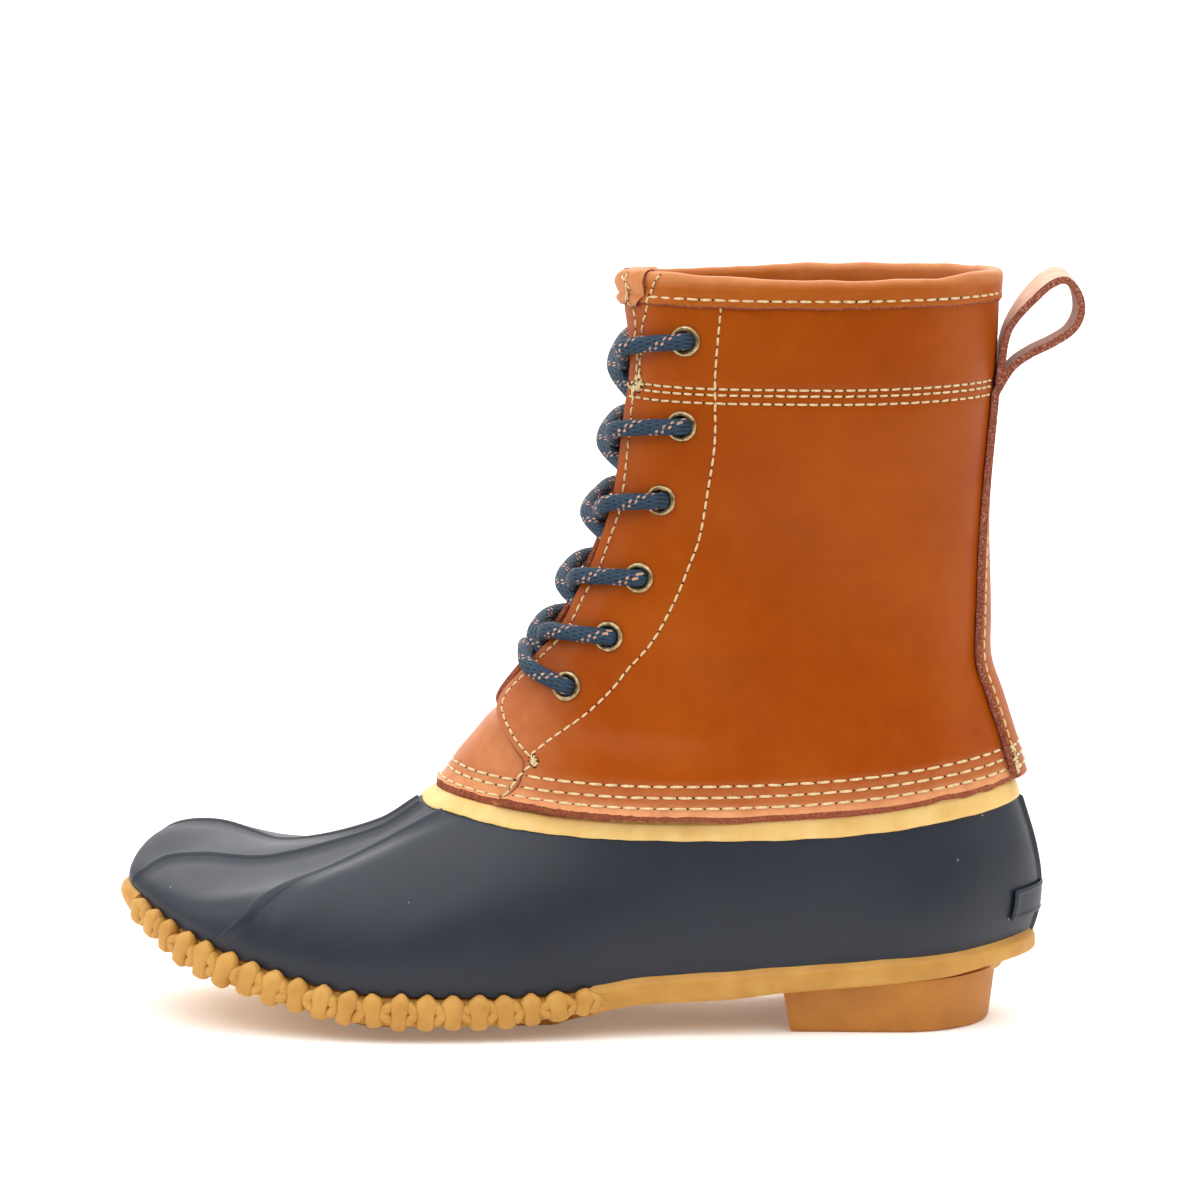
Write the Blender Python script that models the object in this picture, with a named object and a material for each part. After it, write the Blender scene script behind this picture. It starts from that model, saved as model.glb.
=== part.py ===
# Left rubber-bottom lace-up boot, standing on its sole: toe at -X, outer side at -Y, up +Z.
# Lengths are in millimetres and become metres where a mesh is made.
import math

import bmesh
import bpy
import numpy as np
from mathutils import Matrix, Vector

METRE = 0.001
GAP = 0.3  # clearance between neighbouring pieces
WIDE_GAP = 0.45  # clearance where two doubly curved walls lie on each other
CENTRE = (3.42, -0.79, 0.0)  # middle of the finished boot's footprint, which becomes the origin

# Driving dimensions
LENGTH = 280.0  # sole, toe to heel
BALL_WIDTH = 98.0  # across the ball of the foot
SHAFT_TOP = 223.2  # leather's top edge at the side
RUBBER_WALL = 2.6
LEATHER = 1.9
TONGUE_LEATHER = 1.7
STRAP_LEATHER = 2.3
STRAP_WIDTH = 19.0
INSOLE = 3.0
RIM = 2.0  # how far the sole's rim stands out past the rubber
KNOB = 2.2  # how far a chain link stands out past the rim
KNOB_PITCH = 7.9
CHAIN_END = 6.0  # the chain runs from the toe bumper back to this X
BUMPER_HALF = 13.0  # half length of the smooth bumper, along the toe's edge
LACE_RADIUS = 2.5
EDGE_FALL = 0.16  # share of the way down to the pair below where a strand leaves the quarter's edge
CROSS_FALL = 0.62  # share of that way where it goes under the other quarter's edge
EYELET_BORE = 2.5
EYELET_BARREL = 3.0
EYELET_FLANGE = 5.0
EYELET_FLANGE_THICK = 0.8
EYELET_HOLE = 3.4
HOLE_DEPTH = 4.5  # how far an eyelet's hole reaches in from the leather's outer face
HOLE_LEAD = 3.0  # how far its cutter stands out of that face

# Sole, a row for each station along X: top of the rim, bottom of the rim, underside
SOLE_COLUMNS = ("x", "top", "edge", "under")
SOLE_ROWS = (
    (-147.0, 42.0, 34.5, 33.5),
    (-138.0, 37.2, 27.4, 26.4),
    (-130.0, 33.4, 23.8, 22.8),
    (-115.0, 27.4, 16.8, 15.8),
    (-100.0, 22.3, 12.6, 11.2),
    (-85.0, 17.8, 8.8, 6.2),
    (-62.0, 14.0, 4.8, 0.0),
    (-45.0, 13.4, 4.2, 0.0),
    (-25.0, 13.0, 4.2, 0.0),
    (-8.0, 13.6, 6.0, 0.0),
    (6.0, 15.4, 8.0, 6.8),
    (18.0, 17.4, 9.8, 9.4),
    (45.0, 18.8, 11.0, 10.7),
    (62.0, 20.2, 13.0, 12.6),
    (90.0, 21.8, 15.0, 13.8),
    (110.0, 23.2, 16.8, 14.8),
    (126.0, 25.2, 19.4, 15.4),
    (142.0, 27.2, 21.2, 16.0),
)

# Foot of the rubber, a row for each station around the boot, toe to outer side to heel to inner side.
# along and across are shares of the length and the ball width; angle is the station's place on the
# ankle's rings; out and rise lift the wall off the sole; slope and lead bring it to the ankle;
# shelf is the width of the sole's underside rim.
FOOT_COLUMNS = ("along", "across", "angle", "out", "rise", "slope", "lead", "shelf")
FOOT_ROWS = (
    (-0.500, 0.075, 0.0, 5.0, 15.0, 33.0, 52.0, 6.0),  # toe tip
    (-0.458, -0.155, 14.0, 4.0, 15.0, 40.0, 60.0, 6.0),  # toe, outer
    (-0.378, -0.350, 30.0, 4.0, 15.0, 36.0, 38.0, 6.0),  # toe side, outer
    (-0.221, -0.480, 50.0, 4.0, 19.0, 52.0, 27.0, 5.0),  # ball, outer
    (-0.071, -0.456, 68.0, 3.5, 18.0, 70.0, 20.0, 5.0),  # joint, outer
    (0.089, -0.376, 90.0, 4.0, 16.0, 82.0, 16.0, 4.0),  # waist, outer
    (0.268, -0.332, 118.0, 4.0, 16.0, 82.0, 16.0, 3.5),  # heel, outer
    (0.411, -0.262, 148.0, 6.0, 16.0, 78.0, 18.0, 5.0),  # heel corner, outer
    (0.491, 0.000, 180.0, 6.0, 15.0, 72.0, 20.0, 10.0),  # heel back
    (0.411, 0.258, 212.0, 6.0, 16.0, 78.0, 18.0, 5.0),  # heel corner, inner
    (0.268, 0.318, 242.0, 4.0, 16.0, 82.0, 16.0, 3.5),  # heel, inner
    (0.089, 0.312, 270.0, 4.0, 18.0, 82.0, 16.0, 4.0),  # waist, inner
    (-0.071, 0.376, 292.0, 4.0, 20.0, 70.0, 20.0, 5.0),  # joint, inner
    (-0.221, 0.468, 310.0, 4.0, 26.0, 52.0, 28.0, 5.0),  # ball, inner
    (-0.385, 0.428, 330.0, 4.0, 34.0, 46.0, 48.0, 6.0),  # toe side, inner
    (-0.466, 0.290, 346.0, 8.0, 45.0, 44.0, 64.0, 6.0),  # toe, inner
)

# Ankle and shaft, a row for each ring from the leather's lower edge to its top edge
RING_COLUMNS = (
    "front", "widest", "back", "outer", "inner", "middle",
    "front_z", "side_z", "back_z", "front_round", "back_round",
)
RING_ROWS = (
    (-44.0, 28.0, 132.0, 38.0, 36.0, 2.0, 70.0, 65.0, 74.0, 2.0, 2.4),
    (-35.5, 28.0, 128.6, 36.5, 35.0, 1.8, 80.5, 77.5, 85.5, 2.0, 2.4),
    (-26.0, 30.0, 124.6, 34.5, 33.5, 1.5, 92.0, 90.0, 98.0, 2.0, 2.4),
    (-16.0, 32.0, 120.5, 33.0, 32.5, 1.2, 106.0, 105.0, 110.5, 2.0, 2.4),
    (-5.6, 36.0, 120.2, 32.5, 32.0, 1.0, 122.0, 122.0, 125.0, 2.1, 2.4),
    (3.6, 44.0, 120.8, 33.0, 33.0, 0.8, 144.0, 145.0, 147.0, 2.2, 2.3),
    (10.2, 54.0, 122.0, 34.5, 34.5, 0.5, 167.0, 168.0, 169.0, 2.5, 2.2),
    (14.6, 64.0, 123.4, 37.0, 37.0, 0.2, 195.0, 194.0, 195.0, 2.6, 2.2),
    (15.8, 66.0, 124.0, 38.0, 38.0, 0.0, 210.0, 208.8, 210.0, 2.6, 2.2),
    (15.8, 68.0, 124.4, 38.3, 38.3, 0.0, SHAFT_TOP + 1.2, SHAFT_TOP, SHAFT_TOP + 0.8, 2.6, 2.2),
)
LAST_RING = float(len(RING_ROWS))  # v of the leather's top edge; v is 1 at its lower edge
SHAFT_LEVELS = (1.0, 1.5, 1.9, 2.25, 2.55, 2.8, 3.1, 3.5, 4.0, 4.5, 5.0, 6.0, 7.0, 8.0, 9.0)

# Throat, a row for each height: half gap between the quarters, half width of the tongue behind them
THROAT_COLUMNS = ("z", "gap", "tongue")
THROAT_ROWS = (
    (64.0, 28.5, 35.0),
    (78.0, 26.5, 33.0),
    (84.0, 21.5, 29.0),
    (89.0, 15.5, 24.0),
    (94.0, 10.0, 20.0),
    (99.0, 8.2, 18.5),
    (106.0, 8.0, 18.0),
    (118.0, 11.5, 18.5),
    (135.0, 13.5, 20.0),
    (160.0, 15.0, 21.0),
    (200.0, 15.0, 21.0),
    (230.0, 14.0, 21.0),
)
TONGUE_TOP = 216.0
LAP_FADE = 13.0  # distance over which the quarters come down off the tongue's edge
LAP_END = 60.0  # X behind which the quarters lie close on the form

# Eyelets, a row for each pair from the bottom: height, distance from the middle plane
EYELET_COLUMNS = ("z", "y")
EYELET_ROWS = (
    (103.8, 23.2),
    (119.8, 26.2),
    (138.0, 27.8),
    (161.8, 29.4),
    (184.2, 31.8),
    (209.5, 32.8),
)

# Collar binding's cross-section: distance out from the leather's inner face, height over its top edge
COLLAR_PROFILE = (
    (4.0, -4.6),
    (4.4, -2.2),
    (4.2, 0.6),
    (3.2, 2.4),
    (1.2, 3.2),
    (-0.8, 2.4),
    (-1.9, 0.6),
    (-1.9, -4.6),
    (-0.4, -4.6),
    (-0.4, 0.4),
    (2.4, 0.4),
    (2.4, -4.6),
)

# Pull loop, side view: points down the middle of the strap, from the shaft around and back to it
LOOP_POINTS = (
    (131.2, 199.6),
    (136.0, 203.2),
    (142.0, 206.2),
    (147.2, 209.8),
    (149.8, 214.6),
    (149.2, 220.2),
    (145.6, 224.4),
    (141.4, 223.4),
    (137.0, 219.4),
    (133.2, 215.4),
    (130.0, 212.0),
)
STRAP_LEAVES = 192.0  # height where the strap leaves the shaft

HEEL_FRONT = 62.0
HEEL_ROUND = 97.0  # X where the heel block's back starts to curve
HEEL_BACK = 127.4
HEEL_HALF_WIDTH = 31.2
HEEL_DRAFT = 2.0  # how much the block narrows down to the floor

BADGE_HALF_WIDTH = 19.5
BADGE_BOTTOM = 33.5
BADGE_TOP = 42.3
BADGE_THICK = 1.5


def columns(names, rows):
    table = np.array(rows, dtype=float)
    return {name: table[:, index] for index, name in enumerate(names)}


SOLE = columns(SOLE_COLUMNS, SOLE_ROWS)
FOOT = columns(FOOT_COLUMNS, FOOT_ROWS)
RING = columns(RING_COLUMNS, RING_ROWS)
THROAT = columns(THROAT_COLUMNS, THROAT_ROWS)
EYELET = columns(EYELET_COLUMNS, EYELET_ROWS)
STATIONS = len(FOOT_ROWS)
HALVINGS = 34  # steps of a search by halves
HEEL_STATION = STATIONS / 2


def eased(table, key, name, at):
    # Monotone cubic through a table's column, flat where neighbours are equal
    x = table[key]
    y = table[name]
    at = np.clip(np.asarray(at, dtype=float), x[0], x[-1])
    step = np.diff(x)
    slope = np.diff(y) / step
    tangent = np.zeros_like(y)
    same_way = slope[:-1] * slope[1:] > 0.0
    mean = 2.0 * slope[:-1] * slope[1:] / np.where(same_way, slope[:-1] + slope[1:], 1.0)
    tangent[1:-1] = np.where(same_way, mean, 0.0)
    tangent[0] = slope[0]
    tangent[-1] = slope[-1]
    i = np.clip(np.searchsorted(x, at, side="right") - 1, 0, len(x) - 2)
    f = (at - x[i]) / step[i]
    start = (1.0 + 2.0 * f) * (1.0 - f) ** 2 * y[i] + f * (1.0 - f) ** 2 * step[i] * tangent[i]
    end = f ** 2 * (3.0 - 2.0 * f) * y[i + 1] + f ** 2 * (f - 1.0) * step[i] * tangent[i + 1]
    return start + end


def looped(column, u):
    # Smooth closed curve through a column's rows, one row for each whole u
    u = np.asarray(u, dtype=float)
    i = np.floor(u).astype(int)
    f = u - i
    before = column[(i - 1) % STATIONS]
    here = column[i % STATIONS]
    after = column[(i + 1) % STATIONS]
    beyond = column[(i + 2) % STATIONS]
    square = (2.0 * before - 5.0 * here + 4.0 * after - beyond) * f ** 2
    cube = (3.0 * here - before - 3.0 * after + beyond) * f ** 3
    return 0.5 * (2.0 * here + (after - before) * f + square + cube)


def ring_angle(u):
    even = 360.0 / STATIONS
    drift = FOOT["angle"] - even * np.arange(STATIONS)
    return np.radians(looped(drift, u) + even * np.asarray(u, dtype=float))


def outline(u):
    return np.stack([LENGTH * looped(FOOT["along"], u), BALL_WIDTH * looped(FOOT["across"], u)], axis=-1)


def outward(curve, u, step):
    # Level unit normal of a plan curve that runs toe, outer side, heel
    ahead = curve(u + step)[..., :2]
    behind = curve(u - step)[..., :2]
    travel = ahead - behind
    normal = np.stack([travel[..., 1], -travel[..., 0]], axis=-1)
    return normal / np.linalg.norm(normal, axis=-1, keepdims=True)


def level(vector):
    return np.concatenate([vector, np.zeros(vector.shape[:-1] + (1,))], axis=-1)


def ring_point(index, angle):
    row = {name: RING[name][index] for name in RING_COLUMNS}
    c = np.cos(angle)
    s = np.sin(angle)
    is_front = c > 0.0
    power = 2.0 / np.where(is_front, row["front_round"], row["back_round"])
    reach = np.where(is_front, row["front"] - row["widest"], row["back"] - row["widest"])
    half = np.where(s > 0.0, row["outer"], row["inner"])
    x = row["widest"] + reach * np.abs(c) ** power
    y = row["middle"] - half * np.sign(s) * np.abs(s) ** power
    end_z = np.where(is_front, row["front_z"], row["back_z"])
    z = row["side_z"] + (end_z - row["side_z"]) * c ** 2
    return np.stack([x, y, z], axis=-1)


def foot_point(u):
    plan = outline(u)
    z = eased(SOLE, "x", "top", plan[..., 0]) + GAP
    return np.concatenate([plan, z[..., None]], axis=-1)


def surface(u, v):
    # The boot's form: v runs 0 to 1 over the foot and then one ring to each whole number
    u, v = np.broadcast_arrays(np.asarray(u, dtype=float), np.asarray(v, dtype=float))
    angle = ring_angle(u)
    rings = np.stack([ring_point(i, angle) for i in range(len(RING_ROWS))])
    base = foot_point(u)
    rise = level(outward(outline, u, 0.01)) * looped(FOOT["out"], u)[..., None]
    rise = rise + np.array([0.0, 0.0, 1.0]) * looped(FOOT["rise"], u)[..., None]
    inward = -level(outward(lambda a: ring_point(0, a), angle, 0.001))
    slope = np.radians(looped(FOOT["slope"], u))[..., None]
    lean = np.cos(slope) * inward + np.sin(slope) * np.array([0.0, 0.0, 1.0])
    lead = looped(FOOT["lead"], u)[..., None]
    f = np.clip(v, 0.0, 1.0)[..., None]
    foot = base * (1.0 - f) ** 3 + (base + rise) * 3.0 * f * (1.0 - f) ** 2
    foot = foot + (rings[0] - lead * lean) * 3.0 * f ** 2 * (1.0 - f) + rings[0] * f ** 3
    tangents = np.empty_like(rings)
    tangents[0] = lean * np.linalg.norm(rings[1] - rings[0], axis=-1, keepdims=True)
    tangents[1:-1] = 0.5 * (rings[2:] - rings[:-2])
    tangents[-1] = rings[-1] - rings[-2]
    i = np.clip(np.floor(v - 1.0).astype(int), 0, len(RING_ROWS) - 2)
    g = (v - 1.0 - i)[..., None]
    pick = np.indices(i.shape)
    low = rings[(i, *pick)]
    high = rings[(i + 1, *pick)]
    low_tangent = tangents[(i, *pick)]
    high_tangent = tangents[(i + 1, *pick)]
    shaft = (1.0 + 2.0 * g) * (1.0 - g) ** 2 * low + g * (1.0 - g) ** 2 * low_tangent
    shaft = shaft + g ** 2 * (3.0 - 2.0 * g) * high + g ** 2 * (g - 1.0) * high_tangent
    return np.where((v <= 1.0)[..., None], foot, shaft)


def normals(u, v):
    step = 0.004
    around = surface(u + step, v) - surface(u - step, v)
    low = np.clip(v - step, 0.0, LAST_RING)
    high = np.clip(v + step, 0.0, LAST_RING)
    upward = surface(u, high) - surface(u, low)
    normal = np.cross(around, upward)
    return normal / np.linalg.norm(normal, axis=-1, keepdims=True)


def offset(u, v, distance):
    u, v = np.broadcast_arrays(np.asarray(u, dtype=float), np.asarray(v, dtype=float))
    distance = np.broadcast_to(np.asarray(distance, dtype=float), u.shape)
    return surface(u, v) + normals(u, v) * distance[..., None]


def front_station(v, side, half_width):
    # Station u, on the outer (1) or inner (-1) side, where the form is half_width(z) from the middle plane
    v = np.asarray(v, dtype=float)
    low = np.zeros_like(v)
    high = np.full_like(v, 5.0)
    for _ in range(HALVINGS):
        u = 0.5 * (low + high)
        point = surface(side * u, v)
        beyond = -side * point[..., 1] > half_width(point[..., 2])
        high = np.where(beyond, u, high)
        low = np.where(beyond, low, u)
    return side * 0.5 * (low + high)


def back_station(v, half_width):
    # Distance in u from the heel's middle to where the form is half_width from the middle plane
    v = np.asarray(v, dtype=float)
    low = np.zeros_like(v)
    high = np.full_like(v, 2.0)
    for _ in range(HALVINGS):
        u = 0.5 * (low + high)
        beyond = np.abs(surface(HEEL_STATION - u, v)[..., 1]) > half_width
        high = np.where(beyond, u, high)
        low = np.where(beyond, low, u)
    return 0.5 * (low + high)


def ring_at(z, station):
    # Value of v at a height, on the line station(v)
    low = 0.2
    high = LAST_RING
    for _ in range(HALVINGS):
        v = 0.5 * (low + high)
        if surface(station(v), v)[..., 2] > z:
            high = v
        else:
            low = v
    return 0.5 * (low + high)


def spot(side, y, z):
    # (u, v) of the place on a side at a distance from the middle plane and a height, by Newton's method
    target = np.array([-side * y, z])
    place = np.array([side * 2.0, 1.0 + np.interp(z, RING["side_z"], np.arange(len(RING_ROWS)))])
    step = 0.002
    for _ in range(12):
        miss = surface(place[0], place[1])[1:] - target
        by_u = (surface(place[0] + step, place[1])[1:] - surface(place[0] - step, place[1])[1:]) / (2.0 * step)
        by_v = (surface(place[0], place[1] + step)[1:] - surface(place[0], place[1] - step)[1:]) / (2.0 * step)
        change = np.linalg.solve(np.column_stack([by_u, by_v]), miss)
        place = place - np.clip(change, -0.4, 0.4)
    return place[0], place[1]


def gap_width(z):
    return eased(THROAT, "z", "gap", z)


def tongue_width(z):
    return eased(THROAT, "z", "tongue", z)


def quarter_inner(u, v):
    # The quarters' inner face: close on the form, and lifted over the tongue's edges
    point = surface(u, v)
    is_front = np.asarray(point[..., 0] < LAP_END)
    past = np.abs(point[..., 1]) - tongue_width(point[..., 2])
    share = np.clip((LAP_FADE + 1.0 - past) / LAP_FADE, 0.0, 1.0)
    lift = share ** 2 * (3.0 - 2.0 * share) * np.where(is_front, 1.0, 0.0)
    return GAP + (TONGUE_LEATHER + 2.0 * WIDE_GAP - GAP) * lift


def material(name, colour, roughness, metallic):
    made = bpy.data.materials.new(name)
    made.use_nodes = True
    shader = made.node_tree.nodes["Principled BSDF"]
    shader.inputs["Base Color"].default_value = (*colour, 1.0)
    shader.inputs["Roughness"].default_value = roughness
    shader.inputs["Metallic"].default_value = metallic
    return made


def make_object(name, points, faces, look):
    mesh = bpy.data.meshes.new(name)
    placed = (np.asarray(points, dtype=float) - np.array(CENTRE)) * METRE
    mesh.from_pydata([tuple(point) for point in placed], [], faces)
    shape = bmesh.new()
    shape.from_mesh(mesh)
    bmesh.ops.recalc_face_normals(shape, faces=shape.faces)
    shape.to_mesh(mesh)
    shape.free()
    mesh.shade_smooth()
    mesh.set_sharp_from_angle(angle=math.radians(40.0))
    mesh.materials.append(look)
    made = bpy.data.objects.new(name, mesh)
    bpy.context.scene.collection.objects.link(made)
    return made


def closed_shell(name, outer, inner, look, wraps):
    # Wall between two grids of points (rows, columns), closed along its free edges
    rows, count = outer.shape[:2]
    points = np.concatenate([outer.reshape(-1, 3), inner.reshape(-1, 3)])
    inside = rows * count
    across = count if wraps else count - 1
    faces = []
    for r in range(rows - 1):
        for c in range(across):
            d = (c + 1) % count
            quad = (r * count + c, r * count + d, (r + 1) * count + d, (r + 1) * count + c)
            faces.append(quad)
            faces.append(tuple(inside + k for k in reversed(quad)))
    for r in (0, rows - 1):
        for c in range(across):
            d = (c + 1) % count
            faces.append((r * count + c, r * count + d, inside + r * count + d, inside + r * count + c))
    if not wraps:
        for c in (0, count - 1):
            for r in range(rows - 1):
                low = r * count + c
                high = low + count
                faces.append((low, high, inside + high, inside + low))
    return make_object(name, points, faces, look)


def swept(name, loops, look):
    # Solid through closed cross-sections (sections, points), with its two ends capped
    sections, count = loops.shape[:2]
    faces = []
    for s in range(sections - 1):
        for c in range(count):
            d = (c + 1) % count
            faces.append((s * count + c, s * count + d, (s + 1) * count + d, (s + 1) * count + c))
    faces.append(tuple(range(count)))
    faces.append(tuple(range((sections - 1) * count, sections * count)))
    return make_object(name, loops.reshape(-1, 3), faces, look)


def ladder(first, second):
    # Faces across a closed ring of point numbers, side to side
    return [(first[k], first[k + 1], second[k + 1], second[k]) for k in range(len(first) - 1)]


def plate(name, rings, look):
    # Solid from rings of points around the sole (profile, stations), top ring first, filled side to side
    profile, count = rings.shape[:2]
    half = count // 2
    faces = []
    for p in range(profile - 1):
        for c in range(count):
            d = (c + 1) % count
            faces.append((p * count + c, p * count + d, (p + 1) * count + d, (p + 1) * count + c))
    for p in (0, profile - 1):
        outer_side = [p * count + c for c in range(half + 1)]
        inner_side = [p * count + (count - c) % count for c in range(half + 1)]
        for a, b, c, d in ladder(outer_side, inner_side):
            faces.append(tuple(dict.fromkeys((a, b, c, d))))
    return make_object(name, rings.reshape(-1, 3), faces, look)


def smooth_path(points, per_span):
    # Catmull-Rom curve through points
    points = np.asarray(points, dtype=float)
    first = 2.0 * points[0] - points[1]
    last = 2.0 * points[-1] - points[-2]
    padded = np.vstack([first, points, last])
    path = []
    for i in range(1, len(padded) - 2):
        a, b, c, d = padded[i - 1:i + 3]
        for k in range(per_span):
            f = k / per_span
            square = (2.0 * a - 5.0 * b + 4.0 * c - d) * f ** 2
            cube = (3.0 * b - a - 3.0 * c + d) * f ** 3
            path.append(0.5 * (2.0 * b + (c - a) * f + square + cube))
    path.append(points[-1])
    return np.array(path)


def tube(name, path, radius, sides, look):
    travel = np.gradient(path, axis=0)
    travel = travel / np.linalg.norm(travel, axis=1, keepdims=True)
    reference = np.array([0.0, 0.0, 1.0])
    loops = []
    for point, along in zip(path, travel):
        right = np.cross(along, reference)
        right = right / np.linalg.norm(right)
        over = np.cross(right, along)
        turn = np.linspace(0.0, 2.0 * math.pi, sides, endpoint=False)
        loops.append(point + radius * (np.cos(turn)[:, None] * right + np.sin(turn)[:, None] * over))
    return swept(name, np.array(loops), look)


def sole_stations():
    # Stations around the sole: three to each chain link, fewer along the plain rim; mirrored pairs
    fine = np.linspace(0.0, HEEL_STATION, 1601)
    plan = outline(fine)
    run = np.concatenate([[0.0], np.cumsum(np.linalg.norm(np.diff(plan, axis=0), axis=1))])
    chain = run[np.argmax(plan[:, 0] > CHAIN_END)]
    links = round((chain - BUMPER_HALF) / KNOB_PITCH)
    pitch = (chain - BUMPER_HALF) / links
    places = [(0.0, 1.0), (0.5 * BUMPER_HALF, 1.0), (BUMPER_HALF - 0.6, 1.0)]
    for k in range(links):
        start = BUMPER_HALF + k * pitch
        places += [(start, 0.0), (start + 0.3 * pitch, 1.0), (start + 0.7 * pitch, 1.0)]
    places.append((chain, 0.0))
    plain = np.linspace(chain, run[-1], 20)[1:]
    places += [(place, 0.0) for place in plain]
    stations = np.interp([place for place, _ in places], run, fine)
    standing = np.array([stand for _, stand in places])
    return stations, standing


def build_outsole(look):
    half, standing = sole_stations()
    u = np.concatenate([half, (STATIONS - half[1:-1])[::-1]])
    stand = np.concatenate([standing, standing[1:-1][::-1]])
    plan = outline(u)
    normal = outward(outline, u, 0.01)
    shelf = looped(FOOT["shelf"], u)
    top = eased(SOLE, "x", "top", plan[:, 0])
    edge = eased(SOLE, "x", "edge", plan[:, 0])
    out = RIM + KNOB * stand
    round_over = 1.6

    def ring(distance, z):
        spot_plan = plan + normal * np.broadcast_to(distance, u.shape)[:, None]
        height = eased(SOLE, "x", z, spot_plan[:, 0]) if isinstance(z, str) else z
        return np.concatenate([spot_plan, height[:, None]], axis=1)

    rings = np.stack([
        ring(-RUBBER_WALL - 2.0, "top"),
        ring(RIM - round_over, "top"),
        ring(out, top - round_over),
        ring(out, edge + round_over),
        ring(out - round_over, edge),
        ring(RIM - shelf, "under"),
    ])
    return plate("outsole", rings, look)


def build_heel(look):
    turns = np.radians(np.linspace(-90.0, 90.0, 19))
    back = HEEL_BACK - HEEL_ROUND
    outer = [(HEEL_FRONT, -HEEL_HALF_WIDTH), (0.5 * (HEEL_FRONT + HEEL_ROUND), -HEEL_HALF_WIDTH)]
    curve = [(HEEL_ROUND + back * math.cos(a), HEEL_HALF_WIDTH * math.sin(a)) for a in turns]
    inner = [(x, -y) for x, y in reversed(outer)]
    plan = np.array(outer + curve + inner)
    top = eased(SOLE, "x", "under", plan[:, 0]) - GAP
    centre = np.array([HEEL_ROUND, 0.0])
    reach = np.array([back, HEEL_HALF_WIDTH])
    narrow = centre + (plan - centre) * (1.0 - HEEL_DRAFT / reach)
    bevel = 1.2
    foot = centre + (narrow - centre) * (1.0 - bevel / reach)
    upper = np.column_stack([plan, top])
    lower = np.column_stack([narrow, np.full(len(plan), bevel)])
    floor = np.column_stack([foot, np.zeros(len(plan))])
    rings = np.stack([upper, lower, floor])
    count = len(plan)
    faces = []
    for p in range(2):
        for c in range(count):
            d = (c + 1) % count
            faces.append((p * count + c, p * count + d, (p + 1) * count + d, (p + 1) * count + c))
    middle = count // 2
    for p in (0, 2):
        outer_side = [p * count + c for c in range(middle + 1)]
        inner_side = [p * count + count - 1 - c for c in range(middle + 1)]
        for quad in ladder(outer_side, inner_side):
            faces.append(tuple(dict.fromkeys(quad)))
    return make_object("heel", rings.reshape(-1, 3), faces, look)


def build_insole(look):
    u = np.linspace(0.0, STATIONS, 56, endpoint=False)
    plan = outline(u) - outward(outline, u, 0.01) * (RUBBER_WALL + 1.6)
    floor = eased(SOLE, "x", "top", plan[:, 0]) + GAP
    low = np.column_stack([plan, floor])
    high = np.column_stack([plan, floor + INSOLE])
    return plate("insole", np.stack([high, low]), look)


def build_rubber(look):
    u = np.linspace(0.0, STATIONS, 56, endpoint=False)
    v = np.array([0.0, 0.12, 0.26, 0.4, 0.54, 0.68, 0.82, 0.92, 1.0, 1.5, 1.9])
    grid_u, grid_v = np.meshgrid(u, v)
    outer = surface(grid_u, grid_v)
    inner = offset(grid_u, grid_v, -RUBBER_WALL)
    inner[0, :, :2] = outline(u) - outward(outline, u, 0.01) * RUBBER_WALL
    inner[0, :, 2] = eased(SOLE, "x", "top", inner[0, :, 0]) + GAP
    return closed_shell("rubber_lower", outer, inner, look, wraps=True)


def quarter_grid(v, count):
    # Stations of the quarters at each v, from one throat edge around the heel to the other
    outer_edge = front_station(v, 1.0, gap_width)
    inner_edge = STATIONS + front_station(v, -1.0, gap_width)
    share = np.linspace(0.0, 1.0, count)
    u = outer_edge[:, None] + (inner_edge - outer_edge)[:, None] * share
    return u, np.broadcast_to(v[:, None], u.shape)


def build_shaft(look):
    u, v = quarter_grid(np.array([*SHAFT_LEVELS, LAST_RING]), 41)
    base = quarter_inner(u, v)
    inner = offset(u, v, base)
    outer = offset(u, v, base + LEATHER)
    shaft = closed_shell("leather_shaft", outer, inner, look, wraps=False)
    holes = []
    for _, _, place, axis in eyelet_places():
        holes.append(eyelet_hole(place, axis))
    bpy.ops.object.select_all(action="DESELECT")
    for hole in holes:
        hole.select_set(True)
    bpy.context.view_layer.objects.active = holes[0]
    bpy.ops.object.join()
    cutter = bpy.context.view_layer.objects.active
    cutter.name = "eyelet_holes"
    cutter.hide_render = True
    cutter.display_type = "WIRE"
    cut = shaft.modifiers.new("eyelet holes", "BOOLEAN")
    cut.operation = "DIFFERENCE"
    cut.solver = "EXACT"
    cut.object = cutter
    return shaft


def build_tongue(look):
    top = ring_at(TONGUE_TOP, lambda at: 0.0)
    v = np.concatenate([np.array([1.0, 1.5, 1.9, 2.3, 2.7, 3.1]), np.linspace(3.6, top, 8)])
    outer_edge = front_station(v, 1.0, tongue_width)
    inner_edge = front_station(v, -1.0, tongue_width)
    share = np.linspace(0.0, 1.0, 13)
    u = outer_edge[:, None] + (inner_edge - outer_edge)[:, None] * share
    grid_v = np.broadcast_to(v[:, None], u.shape)
    inner = offset(u, grid_v, WIDE_GAP)
    outer = offset(u, grid_v, WIDE_GAP + TONGUE_LEATHER)
    return closed_shell("tongue", outer, inner, look, wraps=False)


def build_collar(look):
    u, v = quarter_grid(np.array([LAST_RING]), 41)
    ring_height = RING["side_z"][-1] - RING["side_z"][-2]
    base = quarter_inner(u, v)
    loops = []
    for out, over in COLLAR_PROFILE:
        at = v + min(over, 0.0) / ring_height
        point = offset(u, at, base + out)
        point[..., 2] = surface(u, v)[..., 2] + over
        loops.append(point[0])
    return swept("collar", np.array(loops).transpose(1, 0, 2), look)


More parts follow.
